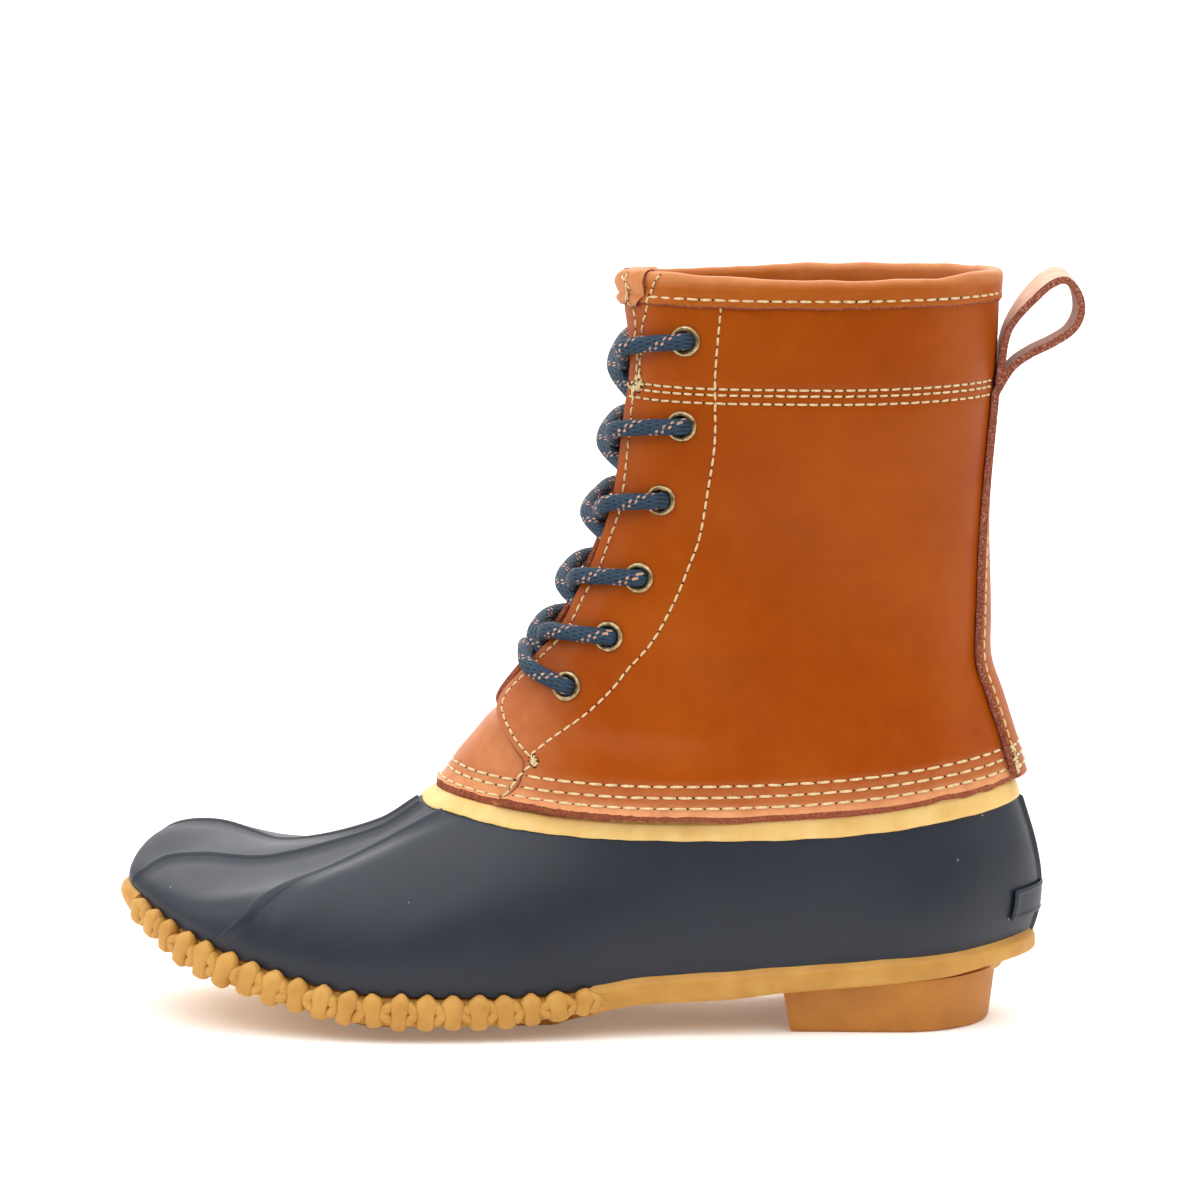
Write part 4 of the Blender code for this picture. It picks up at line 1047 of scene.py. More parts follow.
def rimFrame(side, station):
    # place, outward, along and upward directions and heights of the rim at a station
    u = np.array([side * station])
    plan = outline(u)[0]
    out = np.array([*outward(outline, u, 0.01)[0], 0.0])
    along = np.array([-out[1], out[0], 0.0]) * side
    rise = soleHeight("top", plan[0] + along[0]) - soleHeight("top", plan[0] - along[0])
    along = along + np.array([0.0, 0.0, 0.5 * rise])
    along = along / np.linalg.norm(along)
    up = np.cross(along, out)
    up = up * np.sign(up[2])
    high = soleHeight("top", plan[0]) + chain["over"]
    tall = high - soleHeight("edge", plan[0]) + chain["below"]
    gain = (1.0 - chain["tipShare"]) * smoothStep(abs(station) / chain["tipReach"])
    tall = tall * (chain["tipShare"] + gain)
    return plan, out, along, up, high - tall, high


def laid(local, side, station, height, stand, lean):
    # a small shape, in breadth, depth and height, set on the rim
    plan, out, along, up, low, high = rimFrame(side, station)
    x = local[:, 0] * math.cos(lean) - local[:, 2] * math.sin(lean)
    z = local[:, 0] * math.sin(lean) + local[:, 2] * math.cos(lean)
    centre = np.array([*plan, low + (high - low) * height])
    return centre + out * stand + (x[:, None] * along + local[:, 1:2] * out + z[:, None] * up)


def turned(rows, sides):
    # rings of a rounded square of each row's half breadth and half depth, at its height
    angle = np.linspace(0.0, 2.0 * math.pi, sides, endpoint=False)
    ring = np.stack([np.cos(angle), np.sin(angle)])
    ring = np.sign(ring) * np.abs(ring) ** chain["square"]
    points = np.array([[(b * c, d * s, h) for c, s in ring.T] for h, b, d in rows]).reshape(-1, 3)
    return points, ringFaces(len(rows), sides)


def makeChain():
    fine = np.linspace(0.0, heelStation, 1601)
    rows = [(h - 0.5, 0.5 * chain["width"] * b, 0.5 * chain["depth"] * d) for h, b, d in chain["link"]]
    link, linkFaces = turned(rows, 12)
    turn = np.linspace(0.06, 0.94, 7) * math.pi
    ends = np.sin(turn)
    rows = list(zip(-0.5 * np.cos(turn), 0.5 * ends ** 1.4, 0.5 * ends ** 1.2))
    strand, strandFaces = turned(rows, 10)
    strand = strand[:, [2, 1, 0]] * (1.0, 1.0, -1.0)
    pile = {"points": [], "faces": [], "count": 0}
    for side in (1.0, -1.0):
        plan = outline(side * fine)
        run = runLength(plan)
        end = run[np.argmax(plan[:, 0] > sole["chainEnd"])]
        count = round((end - chain["bumperHalf"]) / chain["pitch"])
        pitch = (end - chain["bumperHalf"]) / count
        for k in range(count):
            at = chain["bumperHalf"] + (k + 0.5) * pitch
            station = np.interp(at, run, fine)
            low, high = rimFrame(side, station)[-2:]
            wider, deeper, taller, lean = draw.normal(size=4) * chain["linkJitter"]
            size = (1.0 + wider, 1.0 + deeper, (high - low) * (1.0 + taller))
            heaped(pile, laid(link * size, side, station, 0.5, chain["stand"], lean), linkFaces)
            fold = 1.0 if (k + int(side)) % 3 else chain["otherFold"]
            for share, long, tall, deep, back, lean in chain["strands"]:
                shift = chain["alongJitter"] * draw.normal()
                between = np.interp(at + 0.5 * pitch + shift, run, fine)
                lean = lean * fold + chain["leanJitter"] * draw.normal()
                height = share + chain["heightJitter"] * draw.normal()
                shape = strand * (long, deep, tall * (high - low) / chain["strandRim"])
                heaped(pile, laid(shape, side, between, height, chain["stand"] - back, lean), strandFaces)
    piece = pileMesh("chain_links", pile)
    mended(piece, merges=False)
    smoothed(piece, 80.0)
    dressed(piece, (gum,))


def makeBumper():
    fine = np.linspace(0.0, heelStation, 1601)
    reach = np.interp(chain["bumperHalf"] + 1.5, runLength(outline(fine)), fine)
    grid = []
    for u in np.linspace(-reach, reach, 61):
        plan, out, _, _, low, high = rimFrame(1.0, u)
        row = [(away, low + (high - low) * share) for away, share in chain["bumper"]]
        grid.append([np.array([*plan, z]) + out * away for away, z in row])
    grid = np.array(grid).transpose(1, 0, 2)
    bumper = gridSheet("toe_bumper", np.concatenate([grid, grid[:1]]), wraps=True)
    mended(bumper, merges=False, caps=True)
    smoothed(bumper, 60.0)
    dressed(bumper, (gum,))


# Heel block
heel = {
    "front": 62.0,
    "round": 97.0,  # x where its sides start to turn
    "back": 127.4,
    "halfWidth": 31.2,
    "draft": 2.0,
    "bevel": 1.4,
    "lap": 1.7,  # how far its top goes up into the sole
}


def makeHeel():
    turns = np.radians(np.linspace(-90.0, 90.0, 61))
    reach = np.array([heel["back"] - heel["round"], heel["halfWidth"]])
    centre = np.array([heel["round"], 0.0])
    straight = np.linspace(heel["front"], heel["round"], 15)[:-1]
    plan = [(x, -heel["halfWidth"]) for x in straight]
    plan += [tuple(centre + reach * (math.cos(a), math.sin(a))) for a in turns]
    plan += [(x, heel["halfWidth"]) for x in straight[::-1]]
    plan = np.array(plan + plan[:1])
    top = soleHeight("under", plan[:, 0]) + heel["lap"]
    rows = []
    for share in np.linspace(0.0, 1.0, 5):
        narrow = centre + (plan - centre) * (1.0 - heel["draft"] * (1.0 - share) / reach)
        rows.append(np.column_stack([narrow, heel["bevel"] + (top - heel["bevel"]) * share]))
    foot = centre + (plan - centre) * (1.0 - heel["draft"] / reach)
    for angle in np.radians((60.0, 30.0)):
        inset = heel["bevel"] * (1.0 - math.sin(angle))
        height = heel["bevel"] * (1.0 - math.cos(angle))
        ring = centre + (foot - centre) * (1.0 - inset / reach)
        rows.insert(0, np.column_stack([ring, np.full(len(plan), height)]))
    ring = centre + (foot - centre) * (1.0 - heel["bevel"] / reach)
    rows.insert(0, np.column_stack([ring, np.zeros(len(plan))]))
    wall = gridSheet("heel_block", np.array(rows), wraps=True)
    caps = [acrossHeel("heel_cap", row[:-1]) for row in (rows[0], rows[-1])]
    piece = joined("heel_block", [wall, *caps])
    mended(piece)
    smoothed(piece, 40.0)
    dressed(piece, (gumHeel,), ("heel",))


def acrossHeel(name, ring):
    half = len(ring) // 2
    left, right = ring[:half + 1], ring[::-1][:half + 1]
    share = np.linspace(0.0, 1.0, 5)[None, :, None]
    return gridSheet(name, left[:, None] * (1.0 - share) + right[:, None] * share)


# Insole
insole = {"thick": 3.0, "inset": 1.8}


def makeInsole():
    u = np.linspace(0.0, stations, 181)[:-1]
    plan = outline(u) - outward(outline, u, 0.01) * (boot["rubberWall"] + insole["inset"])
    ring = np.column_stack([plan, soleHeight("top", plan[:, 0]) + boot["gap"] + insole["thick"]])
    piece = acrossSheet("felt_insole", ring, 21)
    applied(piece, "SOLIDIFY", thickness=insole["thick"] * mm, offset=-1.0)
    smoothed(piece)
    dressed(piece, (felt,), ("insole",))


# Leather quarters
quarter = {
    "rows": (1.36, 1.62, 1.88),  # v of the three rows of stitches over the lower edge
    "cuffRows": (7.87, 7.98, 8.07),
    "groove": 0.26,  # depth of a row's groove, and its width in v
    "grooveWidth": 0.05,
    "facingGroove": 0.22,  # the same for the row down the facing, both in millimetres
    "facingWidth": 0.9,
    "flare": 0.7,  # how far the lower edge stands off, and over what v
    "flareFrom": (1.32, -0.32),
    "cut": 0.15,  # rise of the slanting cut along the lower edge, in v
    "cutFoot": 0.3,  # how far a slanting cut's foot is from the inner face
    "throatCut": 0.7,
    # where it is painted pale, as share, start and length: over its foot and in from the throat, partly
    # rubbed wear and partly painted highlight, and low in front, a painted highlight
    "wornLitFoot": ((0.75, 6.5, -4.0), (0.28, 14.0, -6.0)),
    "wornLitThroat": (0.5, 2.2, -2.0),
    "wornLitEnd": 40.0,  # x where the throat's part ends
    "litFront": (0.3, (8.0, -34.0), (118.0, -24.0)),
    "hole": 3.65,  # radius of the eyelets' holes, and length of their cutters
    "holeDepth": 12.0,
    "facing": ((43.5, 221), (41.8, 200), (41.6, 180), (39.5, 165), (37, 151), (34, 142.3), (30, 132),
               (23.5, 119.6), (16, 110.4), (11.5, 104.5), (4.6, 97.2), (-1.4, 92), (-10.8, 84),
               (-12.6, 82.2)),
    # soft folds of the outer side, each from a place to a place: x, z, x, z, height and width
    "folds": ((30, 128, 84, 84, 0.9, 13.0), (44, 150, 100, 122, -0.8, 15.0), (52, 205, 70, 120, -0.7, 16.0),
              (96, 178, 104, 110, 0.5, 12.0), (2, 132, 16, 112, 0.5, 7.0)),
}


def quarterInner(u, v):
    # stand-off of the quarters' inner face from the form: close, and lifted over the tongue's edges
    point = surface(u, v)
    past = np.abs(point[..., 1]) - tongueWidth(point[..., 2])
    lift = smoothStep((boot["lapFade"] + 1.0 - past) / boot["lapFade"])
    lift = lift * grows(point[..., 0], *boot["lapEnd"])
    return boot["gap"] + (boot["lap"] - boot["gap"]) * lift


def quarterRelief(v, point):
    # folds, stitch grooves and the flare of the lower edge, over the plain outer face
    total = np.zeros(point.shape[:-1])
    spot = point[..., [0, 2]]
    for x0, z0, x1, z1, height, width in quarter["folds"]:
        distance, _ = nearLine(spot, np.array([(x0, z0), (x1, z1)], dtype=float))
        total = total + height * bump(distance, width)
    for row in (*quarter["rows"], *quarter["cuffRows"]):
        total = total - quarter["groove"] * bump(v - row, quarter["grooveWidth"])
    distance, _ = nearLine(spot, smoothPath(quarter["facing"], 4))
    total = total - quarter["facingGroove"] * bump(distance, quarter["facingWidth"])
    wave = 0.75 + 0.5 * ripple(point, 48.0, 12)
    return total + quarter["flare"] * grows(v, *quarter["flareFrom"]) * wave


def quarterFace(u, v):
    # stand-off of the quarters' outer face
    point = surface(u, v)
    return quarterInner(u, v) + boot["leather"] + quarterRelief(v, point)


def quarterEdges(v, past=0.0):
    # first and last station of the quarters at each v, past the throat's edges by a distance
    def width(z):
        return gapWidth(z) + past
    return frontStation(v, 1.0, width), stations + frontStation(v, -1.0, width)


eyeletSpots = []
for side, word in ((1.0, "outer"), (-1.0, "inner")):
    spotU, spotV = frontSpot(side, eyeletTable["y"], eyeletTable["z"])
    for pair in range(len(spotU)):
        gridU = spotU[pair] + np.array([0.0, 0.05, -0.05, 0.0, 0.0])
        gridV = spotV[pair] + np.array([0.0, 0.0, 0.0, 0.05, -0.05])
        face = lifted(gridU, gridV, quarterFace(gridU, gridV))
        axis = np.cross(face[1] - face[2], face[3] - face[4])
        eyeletSpots.append((word, pair, face[0], axis / np.linalg.norm(axis)))


def quarterWornAndLit(spots, foot):
    # how far the hide is painted pale: over its lower edge and along the throat, partly rubbed wear and
    # partly painted highlight, and low in front, a painted highlight
    x, y, z = spots.T
    height = z - np.interp(x, foot[:, 0], foot[:, 2])
    edge = np.abs(y) - gapWidth(z)
    wornAndLit = sum(share * grows(height, start, length) for share, start, length in quarter["wornLitFoot"])
    share, start, length = quarter["wornLitThroat"]
    wornAndLit = wornAndLit + share * grows(edge, start, length) * (x < quarter["wornLitEnd"])
    share, back, down = quarter["litFront"]
    wornAndLit = wornAndLit + share * grows(x, *back) * grows(z, *down)
    return np.clip(wornAndLit, 0.0, 1.0)


def cutHoles(piece):
    cutters = []
    for _, _, place, axis in eyeletSpots:
        deselectAll()
        bpy.ops.mesh.primitive_cylinder_add(vertices=24, radius=quarter["hole"] * mm,
                                            depth=quarter["holeDepth"] * mm)
        cutter = bpy.context.object
        cutter.data.transform(standing(place, axis))
        cutters.append(cutter)
    cutter = joined("eyelet_cutter", cutters)
    applied(piece, "BOOLEAN", operation="DIFFERENCE", solver="EXACT", object=cutter)
    bpy.data.objects.remove(cutter)


def makeQuarters():
    v = np.concatenate([[1.0, 1.0 + quarter["cut"]], np.arange(1.19, 2.3, 0.05), np.arange(2.3, 7.72, 0.12),
                        np.arange(7.72, 8.24, 0.045), np.linspace(8.24, topRing, 18)])
    share = np.linspace(0.0, 1.0, 191)
    share = share - 0.35 * np.sin(2.0 * math.pi * share) / (2.0 * math.pi)  # closer columns at the throat
    ends = quarterEdges(v)
    first, last = quarterEdges(v, quarter["throatCut"])
    gridU = np.column_stack([ends[0], first[:, None] + (last - first)[:, None] * share, ends[1]])
    gridV = np.broadcast_to(v[:, None], gridU.shape)
    stand = quarterFace(gridU, gridV)
    low = quarterInner(gridU, gridV) + quarter["cutFoot"]
    stand[0], stand[:, 0], stand[:, -1] = low[0], low[:, 0], low[:, -1]
    points = lifted(gridU, gridV, stand)
    ragged = 0.3 * ripple(points[0], 9.0, 21) + 0.22 * ripple(points[0], 2.6, 22)
    points[0, :, 2] += ragged
    points[1, :, 2] += 0.6 * ragged + 0.16 * ripple(points[1], 3.1, 23)
    piece = gridSheet("leather_quarters", points, looks=edgeRows(points, 1, 1))
    painted(piece, hide, flangeEdge, lining)
    outerFoot = points[0, :len(share) // 2 + 1]
    # painted pale: rubbed wear and painted highlights
    marked(piece, "wornAndLit", quarterWornAndLit(coordinates(piece), outerFoot))
    shell(piece, boot["leather"])
    cutHoles(piece)
    smoothed(piece, 50.0)
    dressed(piece, (), ("leather_shaft",))


# Tongue, with the wide flange that shows in front of the quarters
tongue = {
    "top": 216.0,
    "stand": 0.45,
    "sunk": -5.0,  # how far it lies under the form where the lace needs room
    "sinks": (90.0, 14.0),  # height where that starts, and over what length
    "rows": (1.26, 1.55, 1.74),
    "groove": 0.22,
    "grooveWidth": 0.05,
    "flare": 0.9,
    "flareFrom": (1.3, -0.3),
    "cutFoot": 0.3,
}


def tongueInner(point):
    # stand-off of the tongue's inner face at a place on the form
    return tongue["stand"] + (tongue["sunk"] - tongue["stand"]) * grows(point[..., 2], *tongue["sinks"])


def tongueFace(u, v):
    point = surface(u, v)
    groove = sum(bump(v - row, tongue["grooveWidth"]) for row in tongue["rows"])
    flare = tongue["flare"] * grows(v, *tongue["flareFrom"]) * (0.8 + 0.5 * ripple(point, 30.0, 31))
    return tongueInner(point) + boot["tongueLeather"] - tongue["groove"] * groove + flare


def makeTongue():
    top = float(ringAt(tongue["top"], 0.0))
    v = np.concatenate([[1.0, 1.14], np.arange(1.18, 2.0, 0.045), np.linspace(2.0, top, 60)])
    first, last = frontStation(v, 1.0, tongueWidth), frontStation(v, -1.0, tongueWidth)
    gridU = first[:, None] + (last - first)[:, None] * np.linspace(0.0, 1.0, 81)
    gridV = np.broadcast_to(v[:, None], gridU.shape)
    stand = tongueFace(gridU, gridV)
    stand[0] = tongueInner(surface(gridU[0], gridV[0])) + tongue["cutFoot"]
    points = lifted(gridU, gridV, stand)
    ragged = 0.3 * ripple(points[0], 8.0, 33) + 0.2 * ripple(points[0], 2.4, 34)
    points[:2, :, 2] += ragged
    piece = gridSheet("leather_tongue", points[:, ::-1], looks=edgeRows(points, 1))
    painted(piece, hide, flangeEdge, flesh)
    # painted paler all over and most at its foot: partly a paler tone, partly a painted highlight
    marked(piece, "wornAndLit", 0.5 + 0.38 * grows(coordinates(piece)[:, 2], 79.0, -6.0))
    shell(piece, boot["tongueLeather"])
    flipIfInside(piece)
    smoothed(piece, 50.0)
    dressed(piece, (), ("tongue",))


def flipIfInside(piece):
    # a closed wall whose faces point inwards is turned
    mesh = piece.data
    mesh.calc_loop_triangles()
    flat = np.empty(len(mesh.vertices) * 3)
    mesh.vertices.foreach_get("co", flat)
    corner = np.empty(len(mesh.loop_triangles) * 3, dtype=int)
    mesh.loop_triangles.foreach_get("vertices", corner)
    a, b, c = flat.reshape(-1, 3)[corner.reshape(-1, 3)].transpose(1, 0, 2)
    total = np.einsum("ij,ij->i", a, np.cross(b, c)).sum()
    if total < 0.0:
        mesh.flip_normals()


# Collar binding rolled over the leather's top edge, with its folded ends at the throat
collar = {
    # out from the leather's inner face and height over its top edge, round the outside and down the inside
    "profile": ((1.95, -4.0), (2.35, -3.85), (2.65, -3.4), (2.7, -2.7), (2.62, -2.0), (2.45, -1.5),
                (2.62, -1.0), (2.75, 0.2), (2.85, 1.4), (2.8, 2.4), (2.45, 3.3), (1.75, 3.9), (0.8, 4.1),
                (-0.2, 3.8), (-0.95, 3.0), (-1.3, 1.8), (-1.4, -1.0), (-1.45, -4.0), (-1.4, -7.5),
                (-1.1, -8.0), (-0.45, -7.9), (-0.35, -7.0), (-0.35, 0.5), (1.95, 0.5)),
    "tab": ((2.2, -4.8), (2.7, -4.8), (3.3, -4.4), (3.5, -3.6), (3.4, -2.6), (2.8, -1.7), (3.45, -0.7),
            (3.9, 1.0), (3.7, 2.4), (3.1, 3.7), (2.0, 4.5), (0.7, 4.7), (-0.6, 4.3), (-1.5, 3.2),
            (-1.9, 1.6), (-2.0, -3.4), (-1.3, -3.6), (-1.0, 1.0), (0.6, 2.4), (2.2, 1.6), (2.3, -2.0)),
    "tabStart": -0.9,  # past the throat's edge
    "tabWidth": (11.6, 8.8),  # from the throat's edge, at its top and at its foot
    "tabFoot": -4.8,  # height of its foot, and of the binding's, over the leather's top edge
    "foot": -4.0,
    "tabStand": 1.65,  # how far each stands over the leather
    "stand": 0.75,
    "pucker": 0.42,
    "puckerPitch": 3.1,
    # rise of the roll: where its front, back and outer side are, its inner side and gain in front, then its
    # outer side and gain in front and at the back
    "front": (75.0, -50.0),
    "back": (105.0, 12.0),
    "outer": (0.0, -25.0),
    "innerRise": (1.2, -2.1),
    "outerRise": (0.4, 1.4, 1.2),
}


def collarRise(top):
    # the roll dips at the throat's inner side, and stands highest at its outer side and at the back
    front, back = (grows(top[:, 0], *collar[end]) for end in ("front", "back"))
    outer = grows(top[:, 1], *collar["outer"])
    inSide, inFront = collar["innerRise"]
    outSide, outFront, outBack = collar["outerRise"]
    inner = (inSide + inFront * front) * (1.0 - outer)
    return inner + (outSide + outFront * front + outBack * back) * outer


def collarLoops(u, profile):
    v = np.full_like(u, topRing)
    ringHeight = ringTable["sideZ"][-1] - ringTable["sideZ"][-2]
    base = quarterInner(u, v)
    top = surface(u, v)
    wave = ripple(top, 22.0, 41)
    pucker = np.sin(runLength(top) * 2.0 * math.pi / collar["puckerPitch"] + 1.6 * ripple(top, 14.0, 44))
    loops = []
    for out, over in profile:
        puckered = collar["pucker"] * pucker * (out < -1.2 and over < 1.2)
        away = base + out + 0.14 * wave * (out > 2.0) + puckered
        point = lifted(u, v + min(over, 0.0) / ringHeight, away)
        raised = collarRise(top) * grows(over, -2.0, 4.0)
        point[:, 2] = top[:, 2] + over + raised + (0.25 * wave if over > 0.0 else 0.0)
        if over < -3.2 and out > 1.5:
            point[:, 2] += 0.22 * ripple(top, 6.0, 42) + 0.12 * ripple(top, 2.2, 43)
        loops.append(point)
    return np.array(loops)


def onCollar(u, v):
    # how far the binding and its folded ends stand over the quarters' outer face
    point = surface(u, v)
    over = point[..., 2] - surface(u, np.full_like(v, topRing))[..., 2]
    past = np.abs(point[..., 1]) - gapWidth(point[..., 2])
    isFront = point[..., 0] < 50.0
    isTab = isFront & (past < collar["tabWidth"][1]) & (over > collar["tabFoot"])
    return np.where(isTab, collar["tabStand"], np.where(over > collar["foot"], collar["stand"], 0.0))


def makeCollar():
    first, last = quarterEdges(np.array([topRing]), 0.3)
    u = first[0] + (last[0] - first[0]) * np.linspace(0.0, 1.0, 241)
    loops = collarLoops(u, collar["profile"])
    loops = np.concatenate([loops, loops[:1]])
    piece = gridSheet("collar_binding", loops, wraps=True, looks=edgeRows(loops, 2))
    mended(piece, merges=False, caps=True)
    painted(piece, hideRoll, flangeEdge)
    # painted paler along the top of the roll: a painted highlight
    marked(piece, "wornAndLit", 0.7 * grows(coordinates(piece)[:, 2], 225.0, 3.0))
    smoothed(piece, 50.0)
    dressed(piece, (), ("collar",))


def makeTab(side, word):
    # the collar's folded end on one side of the throat
    pasts = (collar["tabStart"], *collar["tabWidth"])
    near, top, foot = (throatStation(topRing, side, past) for past in pasts)
    share = np.linspace(0.0, 1.0, 33)
    loops = collarLoops(near + (top - near) * share, collar["tab"])
    lower = collarLoops(near + (foot - near) * share, collar["tab"])
    sunk = np.array([smoothStep(-over / 5.0) for _, over in collar["tab"]])[:, None, None]
    loops = loops * (1.0 - sunk) + lower * sunk
    wavy = 0.3 * ripple(loops, 7.0, 45)[..., None] * normals(near, np.array([topRing]))[0]
    loops = loops + wavy * (loops[..., 2:] > 217.0)
    loops = np.concatenate([loops, loops[:1]])
    tab = gridSheet(f"binding_end_{word}", loops, wraps=True, looks=edgeRows(loops, 2))
    mended(tab, merges=False, caps=True)
    painted(tab, hideRoll, edgeLook)
    marked(tab, "wornAndLit", np.full(len(tab.data.vertices), 0.7))
    smoothed(tab, 50.0)
    dressed(tab, ())


# Strap down the back, and the pull loop that it makes
strap = {
    "thick": 2.3,
    "half": 9.5,
    "under": boot["gap"] + boot["leather"] + 0.45,
    "leaves": 192.0,  # height where it leaves the shaft for the loop
    "flat": 0.85,  # how far it is flattened at the top, and from what height, over what length
    "flatFrom": (120.0, 50.0),
    "path": ((130.2, 199.6), (135.6, 203.8), (142.4, 207.2), (148.0, 211.0), (150.7, 216.0), (150.0, 221.7),
             (146.3, 226.0), (141.6, 224.8), (136.9, 220.6), (132.7, 216.3), (129.6, 212.0), (128.2, 207.4),
             (127.6, 202.8), (127.1, 198.6), (126.8, 194.8)),
    "tilt": 0.1,  # rise of the loop's far side to its breadth
    "bevel": 0.4,
}


def strapGrid(share):
    # places on the strap's outer face, from its lower end over the loop to its hidden end
    top = float(ringAt(strap["leaves"], heelStation))
    v = np.concatenate([np.arange(1.06, 2.2, 0.06), np.linspace(2.2, top, 60)])[:, None]
    reach = backStation(v, strap["half"])
    stand = strap["under"] + strap["thick"]
    lower = lifted(heelStation + reach * share, v, stand)
    edges = lifted(heelStation + reach * np.array([-1.0, 1.0]), v, stand)
    ends = edges[..., 0].mean(axis=1, keepdims=True)
    flat = strap["flat"] * grows(lower[..., 2], *strap["flatFrom"])
    lower[..., 0] -= flat * (lower[..., 0] - ends)
    leave = lower[-1, len(share) // 2] - [0.5 * strap["thick"], 0.0, 0.0]
    bow = lower[-1, :, 0] - lower[-1, len(share) // 2, 0]
    path = smoothPath(np.vstack([leave[[0, 2]], np.array(strap["path"])]), 8)[1:]
    travel = np.gradient(path, axis=0)
    travel = travel / np.linalg.norm(travel, axis=1, keepdims=True)
    face = path + np.column_stack([travel[:, 1], -travel[:, 0]]) * 0.5 * strap["thick"]
    along = np.linspace(-1.0, 1.0, len(path))[:, None]
    tilt = strap["tilt"] * strap["half"] * (share + 1.0) * (1.0 - grows(np.abs(along), 0.1, 0.45))
    hug = np.where(along > 0.0, grows(along, 0.35, 0.3), np.abs(along) ** 3)  # round the shaft's back
    x = face[:, :1] + bow * hug - 0.6 * tilt
    y = np.broadcast_to(strap["half"] * share, x.shape)
    z = face[:, 1:] + tilt
    return np.vstack([lower, np.stack([x, y, z], axis=-1)])


def makeStrap():
    points = strapGrid(np.linspace(-1.0, 1.0, 15))
    wobble = 0.3 * ripple(points[:, 0], 11.0, 51) + 0.15 * ripple(points[:, 0], 3.0, 52)
    points[:, 0, 1] -= wobble
    points[:, -1, 1] += wobble
    piece = gridSheet("back_strap_leather", points)
    painted(piece, hideStrap, edgeLook, flesh)
    # painted paler from high on the back up over the loop: a painted highlight, partly rubbed wear
    marked(piece, "wornAndLit", grows(coordinates(piece)[:, 2], 196.0, 14.0))
    shell(piece, strap["thick"])
    applied(piece, "BEVEL", width=strap["bevel"] * mm, segments=2, limit_method="ANGLE",
            angle_limit=math.radians(55.0))
    smoothed(piece, 45.0)
    dressed(piece, (), ("back_strap",))


# Plate low on the heel, with a raised frame and a bare field
plate = {
    "low": 33.5,
    "high": 42.3,
    "tall": 9.5,  # along the heel
    "half": 16.8,
    "stand": 1.0,
    "frame": 0.3,
    "frameWidth": 1.2,
    "rounded": 0.5,
}


def makePlate():
    low, high = (float(ringAt(plate[end], heelStation)) for end in ("low", "high"))
    v = np.linspace(low, high, 25)[:, None]
    u = heelStation + backStation(v, plate["half"]) * np.linspace(-1.0, 1.0, 81)
    fromSide = plate["half"] - np.abs(surface(u, v)[..., 1])
    fromEnd = np.minimum(v - low, high - v) / (high - low) * plate["tall"]
    near = np.minimum(np.abs(fromSide), fromEnd)
    soft = plate["rounded"]
    stand = plate["stand"] + plate["frame"] * (1.0 - grows(near, plate["frameWidth"], soft))
    stand = stand - soft * grows(near, soft, -soft)
    piece = gridSheet("heel_plate_rubber", lifted(u, v, boot["gap"] + stand))
    shell(piece, plate["stand"] + 0.2, rimLook=0, innerLook=0)
    smoothed(piece, 50.0)
    dressed(piece, (navy,), ("heel_plate",))


# Eyelets: one is turned from a circle and copied to each hole
eyelet = {
    "sides": 28,
    # radius and height over the leather, from inside the barrel over the rolled flange and back under it
    "profile": ((2.6, -2.3), (2.6, -0.5), (2.85, 0.15), (3.1, 0.55), (3.42, 0.84), (3.88, 0.96),
                (4.28, 0.8), (4.58, 0.44), (4.7, 0.1), (4.5, 0.03), (3.45, 0.03), (3.45, -1.95),
                (4.2, -2.0), (4.0, -2.5), (3.1, -2.6)),
}


def makeEyelets():
    profile = eyelet["profile"]
    radius, height = profile[0]
    deselectAll()
    bpy.ops.mesh.primitive_circle_add(vertices=eyelet["sides"], radius=radius * mm, fill_type="NOTHING")
    first = bpy.context.object
    bpy.ops.object.mode_set(mode="EDIT")
    bpy.ops.mesh.select_all(action="SELECT")
    bpy.ops.transform.translate(value=(0.0, 0.0, height * mm))
    for (r, h), (nextR, nextH) in zip(profile, profile[1:] + profile[:1]):
        bpy.ops.mesh.extrude_region_move(TRANSFORM_OT_translate={"value": (0.0, 0.0, (nextH - h) * mm)})
        bpy.ops.transform.resize(value=(nextR / r, nextR / r, 1.0))
    bpy.ops.mesh.select_all(action="SELECT")
    bpy.ops.mesh.remove_doubles(threshold=0.00001)
    bpy.ops.mesh.normals_make_consistent(inside=False)
    bpy.ops.object.mode_set(mode="OBJECT")
    smoothed(first, 60.0)
    for word, pair, place, axis in eyeletSpots:
        piece = first.copy()
        piece.data = first.data.copy()
        piece.name = f"brass_eyelet_{word}_{pair + 1}"
        bpy.context.scene.collection.objects.link(piece)
        piece.data.transform(standing(place, axis))
        dressed(piece, (brass,), (f"eyelet_{word}_{pair + 1}",))
    bpy.data.objects.remove(first)


# Lace: one cord from inside a top eyelet, down through every eyelet and up again
lace = {
    "radius": 2.5,
    "sides": 16,
    "step": 0.9,
    # share of the way up to the next pair where each strand comes out from under its quarter
    "comesOut": (0.42, 0.42, 0.42, 0.35, 0.27),
    "over": (0.85, 0.94),  # shares where it lies over the other quarter
    "middle": 2.1,  # height over the form half way, and how far the two strands lie over and under that
    "cross": 2.45,
    "clearUnder": 0.25,  # between the cord and the leather that it passes
    "clearOver": 0.1,
    "through": (1.6, -0.6, -2.6),  # along an eyelet's axis, from outside to inside
    "end": -4.2,  # where the cord stops, along a top eyelet's axis
    "barShare": 0.45,  # the bar: out from the throat's edge, height there and in the middle, and stand-off
    "barRise": (2.8, 6.8),
    "barStand": 4.9,
}


def laceStop(side, y, z, lift):
    u, v = frontSpot(side, np.array([y]), np.array([z]))
    return lifted(u, v, lift(u, v))[0]


def underQuarter(u, v):
    return quarterInner(u, v) - lace["radius"] - lace["clearUnder"]


def overQuarter(u, v):
    return quarterFace(u, v) + lace["radius"] + lace["clearOver"]


